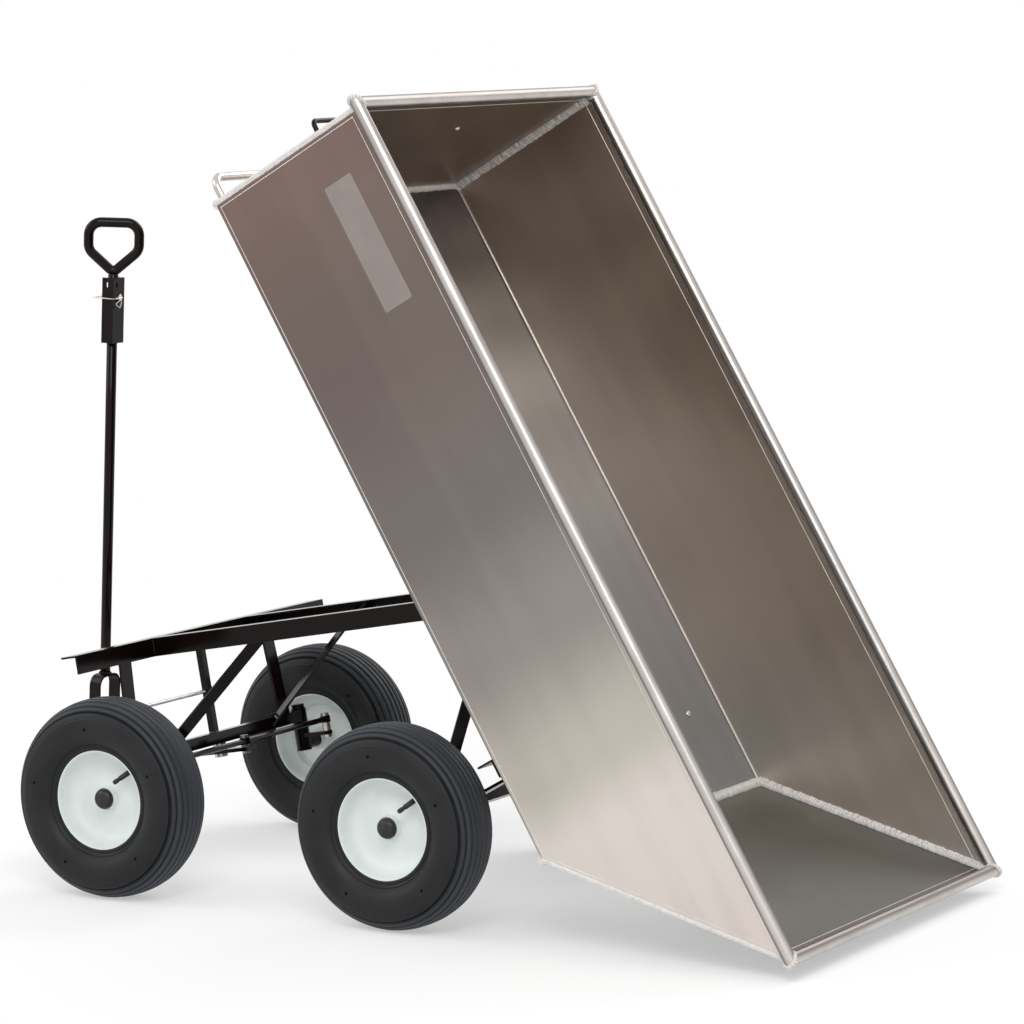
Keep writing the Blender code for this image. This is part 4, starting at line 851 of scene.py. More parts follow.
@dataclass
class Wheel(Assembly):
    """One wheel: ribbed tyre, deep white rim, hub cap and valve stem."""

    name: str
    sign: float
    tyre_radius: float = 0.2035
    tyre_half_width: float = 0.0668
    bead_radius: float = 0.1018
    groove_pitch: float = 0.0145
    groove_half_width: float = 0.0034
    groove_depth: float = 0.0058
    groove_count: int = 5
    groove_rounding: float = 0.0012
    ring_height: float = 0.0006
    ring_width: float = 0.0009
    ring_radii: tuple[float, float] = (0.1163, 0.1660)
    section_steps: int = 150
    section_end: float = math.radians(140.0)
    nub_radius: float = 0.1470
    nub_count: int = 5
    nub_height: float = 0.0016
    nub_sink: float = 0.0012
    rim_half_width: float = 0.0468
    hub_face: float = 0.0253
    valve_half_length: float = 0.0198

    def place(self) -> Matrix:
        """Matrix of the wheel: local Z points away from the wagon."""
        spin = joint_spot(f"{self.name}_spin")
        return Matrix.Translation(spin) @ Matrix.Rotation(-self.sign * QUARTER_TURN, 4, "X")

    def bulge(self, angle: float) -> tuple[float, float]:
        """Section of the smooth tyre.

        Args:
            angle: Angle from the crown in radians.

        Returns:
            Radius and width there.
        """
        middle = (self.tyre_radius + self.bead_radius) / 2.0
        rise = self.tyre_radius - middle
        up = math.cos(angle)
        return (middle + math.copysign(abs(up) ** 0.9, up) * rise,
                self.tyre_half_width * math.sin(angle) ** 0.75)

    def tyre_side(self) -> Points:
        """Outer half of the tyre's section, from the crown to the bead.

        Returns:
            Radius and distance from the middle plane of each point.
        """
        steps = self.section_steps
        smooth = [self.bulge(self.section_end * step / steps) for step in range(steps + 1)]
        half: Points = []
        travelled = 0.0
        for index, (radius, width) in enumerate(smooth):
            before = smooth[max(0, index - 1)]
            after = smooth[min(steps, index + 1)]
            along = Vector((after[0] - before[0], after[1] - before[1])).normalized()
            travelled += math.dist(before, (radius, width))
            depth = self.groove(travelled) - self.ring(radius, travelled)
            half.append((radius - depth * along.y, width + depth * along.x))
        bead = self.bead_radius
        half += [(bead + 0.0062, 0.0462), (bead + 0.0048, 0.0474), (bead + 0.0022, 0.0472),
                 (bead, 0.0450), (bead - 0.0050, 0.0420)]
        return half

    def groove(self, travelled: float) -> float:
        """Depth of the tread below the smooth tyre.

        Args:
            travelled: Distance along the section from the crown's middle.

        Returns:
            The depth.
        """
        if travelled > self.groove_pitch * self.groove_count:
            return 0.0
        share = (travelled / self.groove_pitch) % 1.0 - 0.5
        away = abs(share) * self.groove_pitch
        trench = max(0.0, 1.0 - away / self.groove_half_width)
        round_off = (1.0 - 2.0 * abs(share)) ** 2 * self.groove_rounding
        return trench * self.groove_depth + round_off

    def ring(self, radius: float, travelled: float) -> float:
        """Height of the moulded rings on the side wall.

        Args:
            radius: Radius of the spot.
            travelled: Distance along the section from the crown's middle.

        Returns:
            The height.
        """
        if travelled < self.groove_pitch * self.groove_count:
            return 0.0
        return sum(self.ring_height * math.exp(-((radius - spot) / self.ring_width) ** 2)
                   for spot in self.ring_radii)

    def build_tyre(self) -> None:
        """Model the tyre with ribs, bead line and moulded rings, hollow inside."""
        mesh = bmesh.new()
        half = self.tyre_side()
        section = list(reversed(half)) + [(radius, -width) for radius, width in half[1:]]
        inner = self.bead_radius - 0.0050
        inside = [(inner, -0.0300), (0.1600, -0.0520), (0.1920, 0.0), (0.1600, 0.0520),
                  (inner, 0.0300)]
        revolve(mesh, section + inside, 112, True)
        self.add(f"{self.name}_dressed_tyre", mesh, TYRE, f"{self.name}_tyre", 50.0)

    def build_vent_nubs(self) -> None:
        """Model the small nubs on both side walls, dark with the painted shade of vent holes."""
        mesh = bmesh.new()
        wall = self.tyre_half_width - self.nub_sink
        for side in SIDES:
            for nub in range(self.nub_count):
                angle = FULL_TURN * (nub + 0.35) / self.nub_count
                spot = Vector((self.nub_radius * math.cos(angle),
                               self.nub_radius * math.sin(angle), side * wall))
                rise = side * self.nub_height
                revolve(mesh, [(0.0, rise), (0.0024, rise), (0.0036, rise * 0.6), (0.0038, -rise)],
                        16, False, Matrix.Translation(spot))
        self.add(f"{self.name}_vent_nubs", mesh, VENT_HOLE_SHADE)

    def build_rim(self) -> None:
        """Model the rim with its rolled lip, deep stepped dish and hub tube."""
        lip = self.rim_half_width
        outer = [
            (0.0995, lip - 0.0035), (0.1012, lip - 0.0008), (0.1003, lip + 0.0002),
            (0.0986, lip - 0.0004), (0.0968, lip - 0.0040), (0.0950, lip - 0.0110),
            (0.0940, 0.0290), (0.0928, 0.0225), (0.0903, 0.0160), (0.0862, 0.0105),
            (0.0805, 0.0064), (0.0740, 0.0041), (0.0660, 0.0033), (0.0560, 0.0042),
            (0.0450, 0.0066), (0.0350, 0.0090), (0.0285, 0.0104), (0.0252, 0.0122),
            (0.0240, 0.0150), (0.0240, 0.0235), (0.0232, 0.0250), (0.0100, 0.0250),
        ]
        inner = [
            (0.0100, -0.0420), (0.0232, -0.0420), (0.0240, -0.0400), (0.0240, -0.0030),
            (0.0500, -0.0020), (0.0700, -0.0008), (0.0740, -0.0050), (0.0770, -0.0140),
            (0.0880, -0.0200), (0.0925, -0.0260), (0.0935, -lip + 0.0100),
            (0.0958, -lip + 0.0040), (0.0975, -lip + 0.0004), (0.0992, -lip - 0.0002),
            (0.1000, -lip + 0.0008), (0.0985, -lip + 0.0035), (0.0958, -0.0400),
            (0.0958, 0.0400),
        ]
        mesh = bmesh.new()
        revolve(mesh, outer + inner, 96, True)
        self.add(f"{self.name}_dressed_rim", mesh, ENAMEL, f"{self.name}_rim", 40.0)

    def build_hub_cap(self) -> None:
        """Model the domed hub cap with a small centre pip."""
        mesh = bmesh.new()
        foot = self.hub_face
        revolve(mesh, [(0.0, foot + 0.0156), (0.0022, foot + 0.0155), (0.0030, foot + 0.0148),
                       (0.0080, foot + 0.0145), (0.0135, foot + 0.0130), (0.0178, foot + 0.0100),
                       (0.0202, foot + 0.0062), (0.0212, foot + 0.0030), (0.0214, foot + 0.0006),
                       (0.0210, foot), (0.0, foot)], 48)
        self.add(f"{self.name}_dressed_hub_cap", mesh, RUBBER, f"{self.name}_hub_cap", 50.0)

    def build_valve(self) -> None:
        """Model the valve: rubber stem with a flared foot and a ribbed cap."""
        low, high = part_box(f"{self.name}_valve_stem")
        middle = (low + high) / 2.0
        radial = middle - joint_spot(f"{self.name}_spin")
        radial.y = 0.0
        along = (Vector((0.0, self.sign, 0.0)) - radial.normalized()).normalized()
        turn = along.to_track_quat("Z", "Y").to_matrix().to_4x4()
        half = self.valve_half_length
        profile = [(0.0, half), (0.0030, half), (0.0042, half - 0.0010), (0.0046, half - 0.0025)]
        for rib in range(5):
            base = half - 0.0030 - 0.0018 * rib
            profile += [(0.0050, base), (0.0046, base - 0.0009)]
        profile += [(0.0040, half - 0.0130), (0.0040, half - 0.0150), (0.0052, half - 0.0160),
                    (0.0056, -half + 0.0060), (0.0058, -half), (0.0, -half)]
        mesh = bmesh.new()
        revolve(mesh, profile, 24)
        self.add(f"{self.name}_dressed_valve", mesh, RUBBER, f"{self.name}_valve_stem", 40.0,
                 Matrix.Translation(middle) @ turn)

    def build(self) -> None:
        """Build all of the wheel."""
        self.build_tyre()
        self.build_vent_nubs()
        self.build_rim()
        self.build_hub_cap()
        self.build_valve()


@dataclass
class Tub(Assembly):
    """The aluminium tub: bent pan, end panels, rim tubes, welds and fittings."""

    body: str = Body.TUB.value
    length: float = 1.4290
    width: float = 0.9260
    height: float = 0.3870
    flare: float = 0.3900
    sheet: float = 0.0030
    tube: float = 0.0125
    tube_overhang: float = 0.0035
    hinge_from_rear: float = 0.5250
    hinge_drop: float = 0.0200
    bend: float = 0.0070
    hem: float = 0.0007
    foot_height: float = 0.0150
    foot_inset: float = 0.0180
    foot_weld_radius: float = 0.0095
    weld_pitch: float = 0.0062
    plate_x: tuple[float, float] = (-1.328, -1.058)
    plate_z: tuple[float, float] = (0.236, 0.304)
    plate_corner: float = 0.004
    plate_thickness: float = 0.0005
    floor_bolt_x: float = -0.186
    floor_bolt_y: float = 0.322
    wall_bolt: tuple[float, float] = (0.081, 0.264)

    def place(self) -> Matrix:
        """Matrix of the floor's frame: X rearward from the rear-bottom corner, Z up."""
        tip = local_frame(joint_spot("tub_tip"), TUB_TILT)
        return tip @ Matrix.Translation((self.hinge_from_rear, 0.0, self.hinge_drop + GAP))

    def wall_top(self) -> float:
        """Height of the walls' top edge."""
        return self.height - math.sqrt(self.tube ** 2 - self.tube_overhang ** 2) - GAP

    def build_pan(self) -> None:
        """Model the floor and sides as one sheet with round bends."""
        half = self.width / 2.0
        top = self.wall_top()
        outer = rounded([(-half, top, 0.0), (-half, 0.0, self.bend + self.sheet),
                         (half, 0.0, self.bend + self.sheet), (half, top, 0.0)])
        inset = half - self.sheet
        inner = rounded([(inset, top, 0.0), (inset, self.sheet, self.bend),
                         (-inset, self.sheet, self.bend), (-inset, top, 0.0)])
        mesh = bmesh.new()
        section = outer + inner
        slope = self.flare / self.height
        front = [mesh.verts.new(Vector((-self.length, y, z))) for y, z in section]
        back = [mesh.verts.new(Vector((slope * z, y, z))) for y, z in section]
        for index in range(len(section)):
            after = (index + 1) % len(section)
            mesh.faces.new((front[index], front[after], back[after], back[index]))
        for row in (front, back):
            for index in range(len(outer) - 1):
                other = len(section) - 1 - index
                mesh.faces.new((row[index], row[index + 1], row[other - 1], row[other]))
        self.add("dressed_tub_pan", mesh, SHEET, "tub_pan", 25.0)

    def rim_reach(self) -> tuple[float, float, float]:
        """X of the rim's front and rear lines, and Y of its side lines.

        Returns:
            The three values, in metres.
        """
        return (-self.length - self.tube_overhang,
                self.flare * self.wall_top() / self.height + self.tube_overhang,
                self.width / 2.0 + self.tube_overhang)

    def build_rim(self) -> None:
        """Model the four rim tubes, mitred at the corners."""
        front, rear, half = self.rim_reach()
        corners = [Vector((front, -half, self.height)), Vector((rear, -half, self.height)),
                   Vector((rear, half, self.height)), Vector((front, half, self.height))]
        names = ("left_rim_tube", "rear_rim_tube", "right_rim_tube", "front_rim_tube")
        center = Vector(((front + rear) / 2.0, 0.0, self.height))
        up = Vector((0.0, 0.0, 1.0))
        segments = 32
        for index, name in enumerate(names):
            start, end = corners[index], corners[(index + 1) % 4]
            along = (end - start).normalized()
            outward = along.cross(up)
            if outward.dot(start - center) < 0.0:
                outward = -outward
            mesh = bmesh.new()
            near, far = ([mesh.verts.new(spot + outward * (out * self.tube)
                                         + up * (lift * self.tube)
                                         + along * side * (out * self.tube - GAP))
                          for out, lift in spokes(segments)]
                         for spot, side in ((start, -1.0), (end, 1.0)))
            for step in range(segments):
                after = (step + 1) % segments
                mesh.faces.new((near[step], near[after], far[after], far[step]))
            mesh.faces.new(list(reversed(near)))
            mesh.faces.new(far)
            self.add(f"dressed_{name}", mesh, TUBE_ALONG if abs(along.x) > 0.5 else TUBE_ACROSS,
                     name)

    def build_welds(self) -> None:
        """Lay the scaly weld beads that the photo shows at the ends and the rim."""
        half = self.width / 2.0
        inset = half - self.sheet
        top = self.wall_top()
        lean = self.flare / self.height * top
        front = -self.length
        wall = front + self.sheet
        floor = self.sheet
        edge = half - 0.001
        lines = [
            ("inner_front_floor", (wall, -inset, floor), (wall, inset, floor), 0.0095),
            ("inner_front_left", (wall, -inset, floor), (wall, -inset, top), 0.0050),
            ("inner_front_right", (wall, inset, floor), (wall, inset, top), 0.0140),
            ("inner_rear_floor", (-0.003, -inset, floor), (-0.003, inset, floor), 0.0120),
            ("inner_rear_left", (-0.003, -inset, floor), (lean - 0.003, -inset, top), 0.0050),
            ("inner_rear_right", (-0.003, inset, floor), (lean - 0.003, inset, top), 0.0130),
            ("outer_front_left", (front, -edge, 0.004), (front, -edge, top), 0.0037),
            ("outer_front_right", (front, edge, 0.004), (front, edge, top), 0.0037),
            ("outer_front_floor", (front, -half, 0.001), (front, half, 0.001), 0.0037),
            ("outer_rear_left", (0.002, -edge, 0.004), (lean, -edge, top), 0.0027),
            ("outer_rear_right", (0.002, edge, 0.004), (lean, edge, top), 0.0027),
            ("outer_rear_floor", (0.0, -half, 0.001), (0.0, half, 0.001), 0.0034),
        ]
        for seed, (name, start, end, radius) in enumerate(lines):
            mesh = bmesh.new()
            weld_bead(mesh, Vector(start), Vector(end), radius, self.weld_pitch, seed)
            self.add(f"weld_{name}", mesh, WELD, sharp=60.0)
        rim_front, rim_rear, rim_half = self.rim_reach()
        mesh = bmesh.new()
        reach = self.tube * 0.98
        for x in (rim_front, rim_rear):
            for y in (-rim_half, rim_half):
                ahead = Vector((math.copysign(1.0, x - (rim_front + rim_rear) / 2.0),
                                math.copysign(1.0, y), 0.0))
                path = [Vector((x, y, self.height)) + ahead * reach * out
                        + Vector((0.0, 0.0, reach * up)) for out, up in spokes(16, True)]
                weld_chain(mesh, path, 0.0046, 0.0050)
        self.add("weld_rim_corners", mesh, WELD, sharp=60.0)

    def build_loops(self) -> None:
        """Model the lift handle with its welds, and the tie loop on the front panel."""
        spread = self.width / 2.0 - self.foot_inset
        for node, finish, reach, half, corner, steps, y, z, radius, segments in (
            ("lift_handle", TUBE, 0.050, spread, 0.025, 10, 0.0, self.foot_height, 0.0085, 24),
            ("tie_loop", POWDER, 0.030, 0.045, 0.012, 8, -0.400, 0.2700, 0.0050, 20),
        ):
            path = rounded([(-GAP, -half, 0.0), (-reach, -half, corner), (-reach, half, corner),
                            (-GAP, half, 0.0)], steps)
            mesh = bmesh.new()
            sweep(mesh, [Vector((-self.length + out, y + side, z)) for out, side in path],
                  radius, segments)
            self.add(f"dressed_{node}", mesh, finish, node)
        mesh = bmesh.new()
        ring = self.foot_weld_radius
        for y in (-spread, spread):
            weld_chain(mesh, [Vector((-self.length - 0.001, y + ring * out,
                                      self.foot_height + ring * up))
                              for out, up in spokes(24, True)], 0.0028, 0.0030)
        self.add("weld_lift_handle", mesh, WELD, sharp=60.0)

    def build_fittings(self) -> None:
        """Model the bare plate on the side and the bolt heads inside."""
        mesh = bmesh.new()
        (near, far), (low, high) = self.plate_x, self.plate_z
        plate = rounded([(x, z, self.plate_corner) for x, z in
                         ((near, low), (near, high), (far, high), (far, low))], 4, True)
        stand = (Matrix.Translation((0.0, -self.width / 2.0, 0.0))
                 @ Matrix.Rotation(QUARTER_TURN, 4, "X"))
        extrude_outline(mesh, plate, 0.0, self.plate_thickness, 0.0, stand)
        self.add("bare_side_plate", mesh, PLATE)
        mesh = bmesh.new()
        seats = [((self.floor_bolt_x, side * self.floor_bolt_y, self.sheet), 0.0)
                 for side in (1.0, -1.0)]
        seats.append(((-self.length + self.sheet, *self.wall_bolt), QUARTER_TURN))
        for spot, tilt in seats:
            seat = Matrix.Translation(spot) @ Matrix.Rotation(tilt, 4, "Y")
            revolve(mesh, [(0.0, 0.0042), (0.0035, 0.0040), (0.0062, 0.0028), (0.0080, 0.0008),
                           (0.0082, 0.0), (0.0, 0.0)], 24, False, seat)
        self.add("tub_bolt_heads", mesh, ZINC)

    def build_hems(self) -> None:
        """Model the thin raised hems along the tub's edges, and the thin bright lines along its
        inner bends that are a painted highlight of the bends.
        """
        top = self.wall_top() - 0.0120
        rear = self.flare / self.height * top
        half = self.width / 2.0
        inset = half - self.sheet
        front = -self.length + self.sheet
        foot = 0.012
        outer_front = -self.length + foot
        mesh = bmesh.new()
        # Painted highlight: a thin bright line along each inner bend stands in for the light on
        # the bend.
        bend = self.bend * 0.75
        for side in SIDES:
            line = [Vector((spot, side * (inset - bend * 0.35), self.sheet + bend * 0.35))
                    for spot in (front + 0.010, -0.010)]
            sweep(mesh, line, self.hem * 2.0, 10)
        for start, end in (
            ((front + 0.010, inset, top), (rear - 0.012, inset, top)),
            ((front + 0.010, -inset, top), (rear - 0.012, -inset, top)),
            ((front, -inset + 0.010, top), (front, inset - 0.010, top)),
            ((rear - 0.0042, -inset + 0.012, top), (rear - 0.0042, inset - 0.012, top)),
            ((outer_front, -half, foot), (-0.004, -half, foot)),
            ((outer_front, half, foot), (-0.004, half, foot)),
            ((outer_front, -half, top), (rear - 0.014, -half, top)),
            ((outer_front, half, top), (rear - 0.014, half, top)),
            ((-self.length + 0.014, -half, foot), (-self.length + 0.014, -half, top)),
            ((0.0, -half, 0.018), (rear - 0.018, -half, top)),
        ):
            sweep(mesh, [Vector(start), Vector(end)], self.hem, 8)
        self.add("edge_hems_and_bend_highlights", mesh, HEM_AND_BEND_HIGHLIGHT)

    def build(self) -> None:
        """Build all of the tub and dress its end panels."""
        self.build_pan()
        self.build_rim()
        self.build_welds()
        self.build_loops()
        self.build_fittings()
        self.build_hems()
        dress(("front_panel",), SHEET_FRONT, 0.0006)
        dress(("rear_panel",), SHEET_REAR, 0.0006)


@dataclass
class Handle(Assembly):
    """Pull handle: smooth shaft, clevis, grip loop, pin and wire clip."""

    body: str = Body.HANDLE.value
    shaft_radius: float = 0.0110
    shaft_foot: float = 0.2003
    shaft_length: float = 0.7400
    clevis_lap: float = 0.0320
    clevis_length: float = 0.1380
    clevis_wall: float = 0.0040
    pin_drop: float = 0.0420
    pin_radius: float = 0.0035
    pin_reach: float = 0.0470
    pin_head: float = 0.0045
    clip_radius: float = 0.0013
    clip_drop: float = 0.0250
    grip_radius: float = 0.0105
    grip_turn: float = math.radians(58.0)
    yoke_half_width: float = 0.0385
    nut_height: float = 0.0060
    nut_radius: float = 0.0112

    def place(self) -> Matrix:
        """Matrix of the handle: Z runs up the shaft from the yoke bolt."""
        return local_frame(joint_spot("handle_pitch"), HANDLE_LEAN)

    def clevis_top(self) -> float:
        """Height of the clevis's mouth above the yoke bolt."""
        return self.shaft_foot + self.shaft_length - self.clevis_lap + self.clevis_length

    def build_shaft(self) -> None:
        """Model the shaft with its weld to the yoke."""
        mesh = bmesh.new()
        foot = self.shaft_foot
        top = foot + self.shaft_length
        radius = self.shaft_radius
        revolve(mesh, [(0.0, top), (radius - 0.001, top), (radius, top - 0.001),
                       (radius, foot + 0.001), (radius - 0.001, foot), (0.0, foot)], 40)
        weld_chain(mesh, [Vector((radius * 1.05 * out, radius * 1.05 * up, foot + 0.0012))
                          for out, up in spokes(28, True)], 0.0022, 0.0026)
        self.add("dressed_handle_shaft", mesh, GLOSS, "handle_shaft", 60.0)

    def build_grip(self) -> None:
        """Model the grip as a bent tube welded to its stem."""
        apex = self.clevis_top() + self.grip_radius
        corners = [(0.0, 0.0, 0.0120), (0.0530, 0.0470, 0.0270), (0.0530, 0.1050, 0.0270),
                   (-0.0530, 0.1050, 0.0270), (-0.0530, 0.0470, 0.0270)]
        turn = Matrix.Rotation(-self.grip_turn, 4, "Z")
        loop = [turn @ Vector((0.0, y, z)) + Vector((0.0, 0.0, apex))
                for y, z in rounded(corners, 10, True)]
        mesh = bmesh.new()
        sweep(mesh, loop, self.grip_radius, 24, True)
        top = apex - self.grip_radius * 0.2
        foot = self.clevis_top() - 0.0650
        radius = self.shaft_radius
        revolve(mesh, [(0.0, top), (radius * 0.7, top), (radius, top - 0.004),
                       (radius, foot + 0.001), (radius - 0.001, foot), (0.0, foot)], 32)
        self.add("dressed_grip", mesh, GLOSS, "grip", 50.0)

    def build_pin(self) -> None:
        """Model the pull pin and the wire clip that holds it."""
        level = self.clevis_top() - self.pin_drop
        face = self.shaft_radius + 2.0 * GAP + self.clevis_wall
        tail = face - self.pin_reach
        pin, cap = self.pin_radius, face + self.pin_head
        mesh = bmesh.new()
        across = Matrix.Translation((0.0, 0.0, level)) @ Matrix.Rotation(QUARTER_TURN, 4, "Y")
        revolve(mesh, [(0.0, cap), (0.0060, cap - 0.0002), (0.0070, cap - 0.0011),
                       (0.0070, face), (pin, face), (pin, tail + 0.0010),
                       (0.0026, tail), (0.0, tail)], 24, False, across)
        self.add("dressed_hitch_pin", mesh, ZINC, "hitch_pin")
        wire = self.clip_radius
        head = cap + GAP + wire
        end = tail - GAP - wire
        side = -self.clip_drop
        path = rounded([(head, pin, 0.0), (head, side, 0.0050), (end, side, 0.0050),
                        (end, pin, 0.0)])
        mesh = bmesh.new()
        sweep(mesh, [Vector((x, y, level + 0.0015 * math.sin(30.0 * y))) for x, y in path],
              wire, 12)
        eye = rounded([(0.002, -0.002, 0.003), (-0.022, -0.012, 0.003), (-0.004, -0.022, 0.004)],
                      6, True)
        sweep(mesh, [Vector((head + 0.0004, y, level + z)) for y, z in eye], 0.0012, 12, True)
        self.add("dressed_hitch_pin_clip", mesh, ZINC, "hitch_pin_clip")

    def build_yoke_bolt(self) -> None:
        """Model the yoke bolt with its hexagonal head and nut."""
        half = self.yoke_half_width + GAP
        mesh = bmesh.new()
        side = Matrix.Rotation(QUARTER_TURN, 4, "X")
        revolve(mesh, [(0.0, half + 0.0085), (0.0055, half + 0.0085), (0.0064, half + 0.0075),
                       (0.0064, -half), (0.0, -half)], 24, False, side)
        for low in (half, -half - self.nut_height):
            extrude_outline(mesh, hexagon(self.nut_radius), low, low + self.nut_height, 0.0006,
                            side)
        self.add("dressed_yoke_bolt", mesh, ZINC, "yoke_bolt", 30.0)

    def build(self) -> None:
        """Build all of the handle and dress its bent plates."""
        self.build_shaft()
        self.build_grip()
        self.build_pin()
        self.build_yoke_bolt()
        dress(("yoke", "hitch_clevis"), GLOSS, 0.0008)


@dataclass
class FrontUnit(Assembly):
    """Front frame and steering: carried-over solids with added weld fillets and stay rod."""

    body: str = Body.FRONT.value
    rail_top: float = 0.2955
    angle_thickness: float = 0.0043
    beam_half: float = 0.0125
    rail_half_spacing: float = 0.1950
    leg_foot_spread: float = 0.2840
    leg_top_spread: float = 0.2620
    leg_half_width: float = 0.0190
    leg_thickness: float = 0.0060
    brace_foot_spread: float = 0.2000
    bead: tuple[float, float] = (0.0024, 0.0042)
    rail_bead: tuple[float, float] = (0.0026, 0.0045)
    stay_rod_height: float = 0.1600
    stay_rod_radius: float = 0.0040
    thread_start: float = 0.0145
    thread_turns: int = 18
    nodes: tuple[str, ...] = (
        "front_crossbar", "left_rail", "right_rail", "rail_tie", "left_front_leg",
        "right_front_leg", "front_axle_beam", "centre_post", "left_front_brace",
        "right_front_brace", "tongue", "left_knuckle", "right_knuckle", "tie_rod",
    )
    bright: tuple[str, ...] = ("hinge_rod", "tongue_pin", "tongue_tie_bolt", "left_tie_bolt",
                               "right_tie_bolt")

    def place(self) -> Matrix:
        """Matrix of the front unit at the front axle's centre."""
        return local_frame(joint_spot("tongue_steer"), -FRONT_PITCH)

    def build_stay_rod(self) -> None:
        """Model the stay rod with its thread and nut."""
        mesh = bmesh.new()
        low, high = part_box("stay_rod")
        origin = self.place().inverted() @ ((low + high) / 2.0)
        side = (Matrix.Translation((origin.x, 0.0, self.stay_rod_height))
                @ Matrix.Rotation(-QUARTER_TURN, 4, "X"))
        profile = [(0.0, high.y), (0.0030, high.y)]
        start, radius = self.thread_start, self.stay_rod_radius
        for turn in range(self.thread_turns):
            spot = high.y - (high.y - start) * turn / self.thread_turns
            profile += [(radius, spot - 0.0003), (0.0034, spot - 0.0007)]
        profile += [(radius, start - 0.001), (radius, low.y), (0.0, low.y)]
        revolve(mesh, profile, 20, False, side)
        extrude_outline(mesh, hexagon(0.0088), 0.0082, 0.0138, 0.0005, side)
        self.add("dressed_stay_rod", mesh, ZINC, "stay_rod", 30.0)

    def build_welds(self) -> None:
        """Lay painted fillet welds where the frame's members meet."""
        under = self.rail_top - self.angle_thickness
        beam = self.beam_half
        leg = -(beam + GAP)
        back = leg - self.leg_thickness
        half = self.leg_half_width
        fillets = []
        for sign in SIDES:
            web, foot, top, brace = (sign * spread for spread in (
                self.rail_half_spacing, self.leg_foot_spread, self.leg_top_spread,
                self.brace_foot_spread))
            fillets.append(((beam, web, under - 0.030), (beam, web, under), *self.rail_bead, 1))
            for side in (-half, half):
                fillets.append(((leg, foot + side, 0.0485),
                                (leg, foot + side - sign * 0.002, 0.0720), *self.bead, 2))
                fillets.append(((back, top + side, under), (leg, top + side, under),
                                *self.bead, 3))
            fillets.append(((back, top - half, under), (back, top + half, under), *self.bead, 4))
            fillets.append(((beam, brace - 0.010, 0.079), (beam, brace + 0.010, 0.079),
                            *self.bead, 5))
        mesh = bmesh.new()
        for start, end, radius, pitch, seed in fillets:
            weld_bead(mesh, Vector(start), Vector(end), radius, pitch, seed)
        self.add("frame_welds", mesh, POWDER, sharp=60.0)

    def build(self) -> None:
        """Build the front unit's added pieces and dress its nodes."""
        self.build_stay_rod()
        self.build_welds()
        dress(self.nodes, POWDER, 0.0007)
        dress(self.bright, ZINC, 0.0004)


REAR_UNIT = ("rear_crossbar", "left_rear_leg", "right_rear_leg", "rear_axle", "left_tub_rail",
             "right_tub_rail", "left_rear_brace", "right_rear_brace")


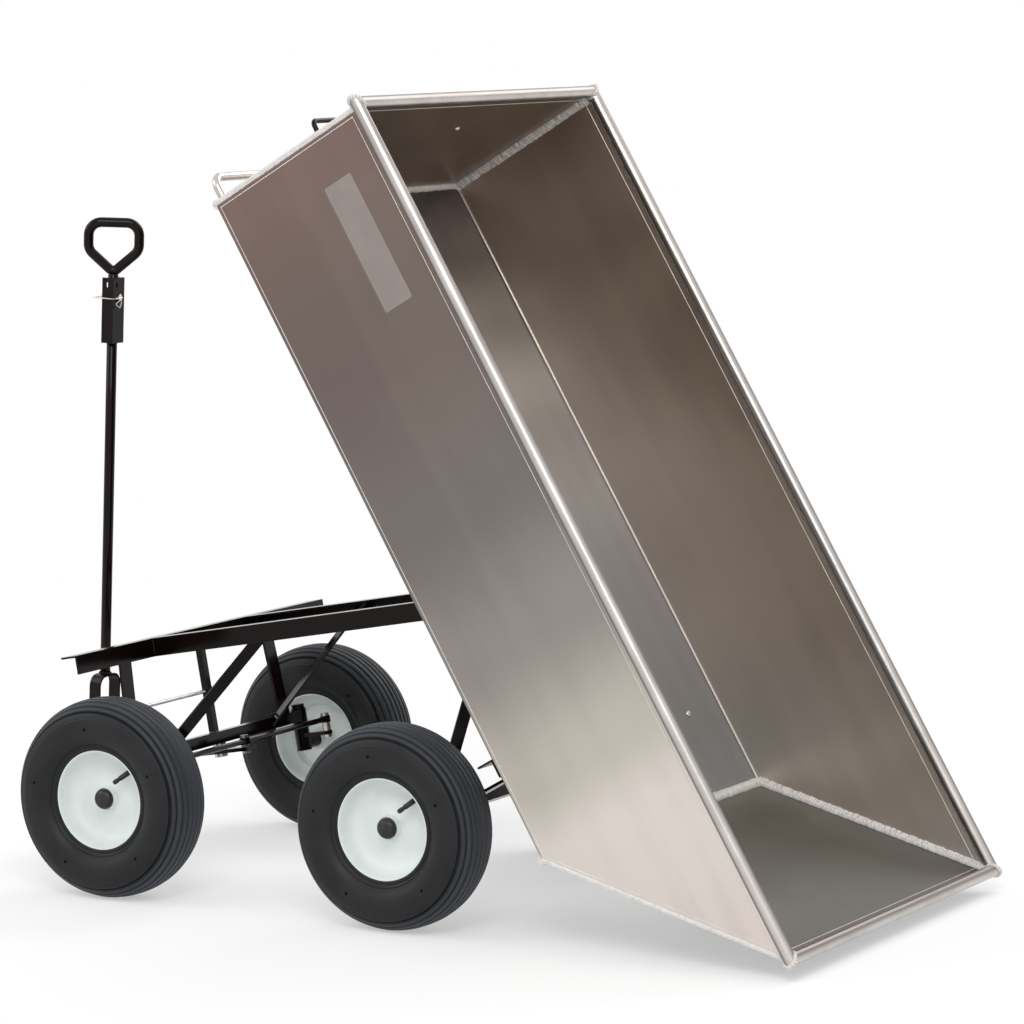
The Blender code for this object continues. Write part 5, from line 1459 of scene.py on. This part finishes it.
@dataclass
class Studio:
    """White floor, soft lamps and the camera at the photo's angle."""

    camera_spot: Triple = (4.6748, -7.5355, 1.8097)
    front_axle_x: float = -0.3337
    azimuth: float = math.radians(29.7358)
    elevation: float = math.radians(6.7969)
    roll: float = math.radians(-0.3684)
    lens: float = 153.0065
    floor_solid: float = 1.5
    floor_edge: float = 3.6
    floor_level: float = -0.0024
    floor_white: float = 0.97
    floor_glow: float = 0.44
    world_level: float = 0.72
    lamp_size: float = 4.0
    lamp_aim: Triple = (0.0, 0.0, 0.6)

    def build_camera(self) -> None:
        """Place the camera that the photo was fitted with."""
        data = bpy.data.cameras.new("photo_camera")
        data.sensor_width = 36.0
        data.sensor_fit = "HORIZONTAL"
        data.lens = self.lens
        camera = add_object("photo_camera", data)
        ca, sa = math.cos(self.azimuth), math.sin(self.azimuth)
        ce, se = math.cos(self.elevation), math.sin(self.elevation)
        ahead = Vector((-sa * ce, ca * ce, -se))
        right = Vector((ca, sa, 0.0))
        up = right.cross(ahead)
        cr, sr = math.cos(self.roll), math.sin(self.roll)
        spin = Matrix((right * cr + up * sr, up * cr - right * sr, -ahead)).transposed().to_4x4()
        shift = joint_spot("tongue_steer").x - self.front_axle_x
        spot = Vector(self.camera_spot) + Vector((shift, 0.0, 0.0))
        camera.matrix_world = Matrix.Translation(spot) @ spin
        bpy.context.scene.camera = camera

    @staticmethod
    def seen_rays(nodes: Nodes) -> Socket:
        """One where a ray comes from the camera, a gloss or a clear piece, else zero.

        Args:
            nodes: The node tree to add to.

        Returns:
            The socket of the value.
        """
        paths = nodes.add("LightPath").outputs
        seen = nodes.math("ADD", paths["Is Camera Ray"], paths["Is Glossy Ray"], True)
        return nodes.math("ADD", seen, paths["Is Transmission Ray"], True)

    def build_floor(self) -> None:
        """Lay a wide white floor under the wheels."""
        mesh = bmesh.new()
        bmesh.ops.create_grid(mesh, x_segments=1, y_segments=1, size=self.floor_edge)
        data = bpy.data.meshes.new("studio_floor")
        mesh.to_mesh(data)
        mesh.free()
        floor = add_object("studio_floor", data)
        floor.location.z = self.floor_level
        material = bpy.data.materials.new("studio_white")
        material.use_nodes = True
        nodes = Nodes(material.node_tree)
        seen = self.seen_rays(nodes)
        shown = self.floor_white * (1.0 - self.floor_glow)
        reach = nodes.add("VectorMath", {0: nodes.add("TexCoord").outputs["Object"]}, "LENGTH")
        fade = nodes.span(reach.outputs["Value"], self.floor_solid, self.floor_edge, 1.0, 0.0)
        shader = nodes.tree.nodes["Principled BSDF"]
        for label, value in (
            ("Roughness", 0.9), ("Specular IOR Level", 0.0), ("Emission Strength", 1.0),
            ("Base Color", nodes.span(seen, 0.0, 1.0, self.floor_white, shown)),
            ("Emission Color", nodes.math("MULTIPLY", seen, self.floor_glow)), ("Alpha", fade),
        ):
            nodes.put(value, shader.inputs[label])
        data.materials.append(material)

    def build_light(self) -> None:
        """Set an even white world and three large soft lamps."""
        world = bpy.data.worlds.new("studio_world")
        world.use_nodes = True
        nodes = Nodes(world.node_tree)
        background = nodes.tree.nodes["Background"]
        nodes.put((1.0, 1.0, 1.0, 1.0), background.inputs["Color"])
        nodes.put(nodes.span(self.seen_rays(nodes), 0.0, 1.0, self.world_level, 1.0),
                  background.inputs["Strength"])
        bpy.context.scene.world = world
        for name, spot, power in (("key_lamp", (3.0, -6.0, 6.0), 260.0),
                                  ("fill_lamp", (-6.0, -4.0, 5.0), 120.0),
                                  ("back_lamp", (1.0, 6.0, 6.0), 180.0)):
            data = bpy.data.lights.new(name, "AREA")
            data.size = self.lamp_size
            data.energy = power
            lamp = add_object(name, data)
            lamp.location = spot
            aim = Vector(self.lamp_aim) - Vector(spot)
            lamp.rotation_euler = aim.to_track_quat("-Z", "Y").to_euler()

    def build(self) -> None:
        """Build the studio."""
        self.build_camera()
        self.build_floor()
        self.build_light()
        bpy.context.scene.view_settings.view_transform = "Standard"


def main() -> None:
    """Build the whole scene in order."""
    logging.basicConfig(level=logging.INFO, format="%(message)s")
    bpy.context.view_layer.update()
    build_shared_groups()
    Studio().build()
    Tub().build()
    for name, sign in (("front_left", -1.0), ("front_right", 1.0), ("rear_left", -1.0),
                       ("rear_right", 1.0)):
        Wheel(f"{name}_wheel", name, sign).build()
    Handle().build()
    FrontUnit().build()
    dress(REAR_UNIT, POWDER, 0.0007)


if __name__ == "__main__":
    main()
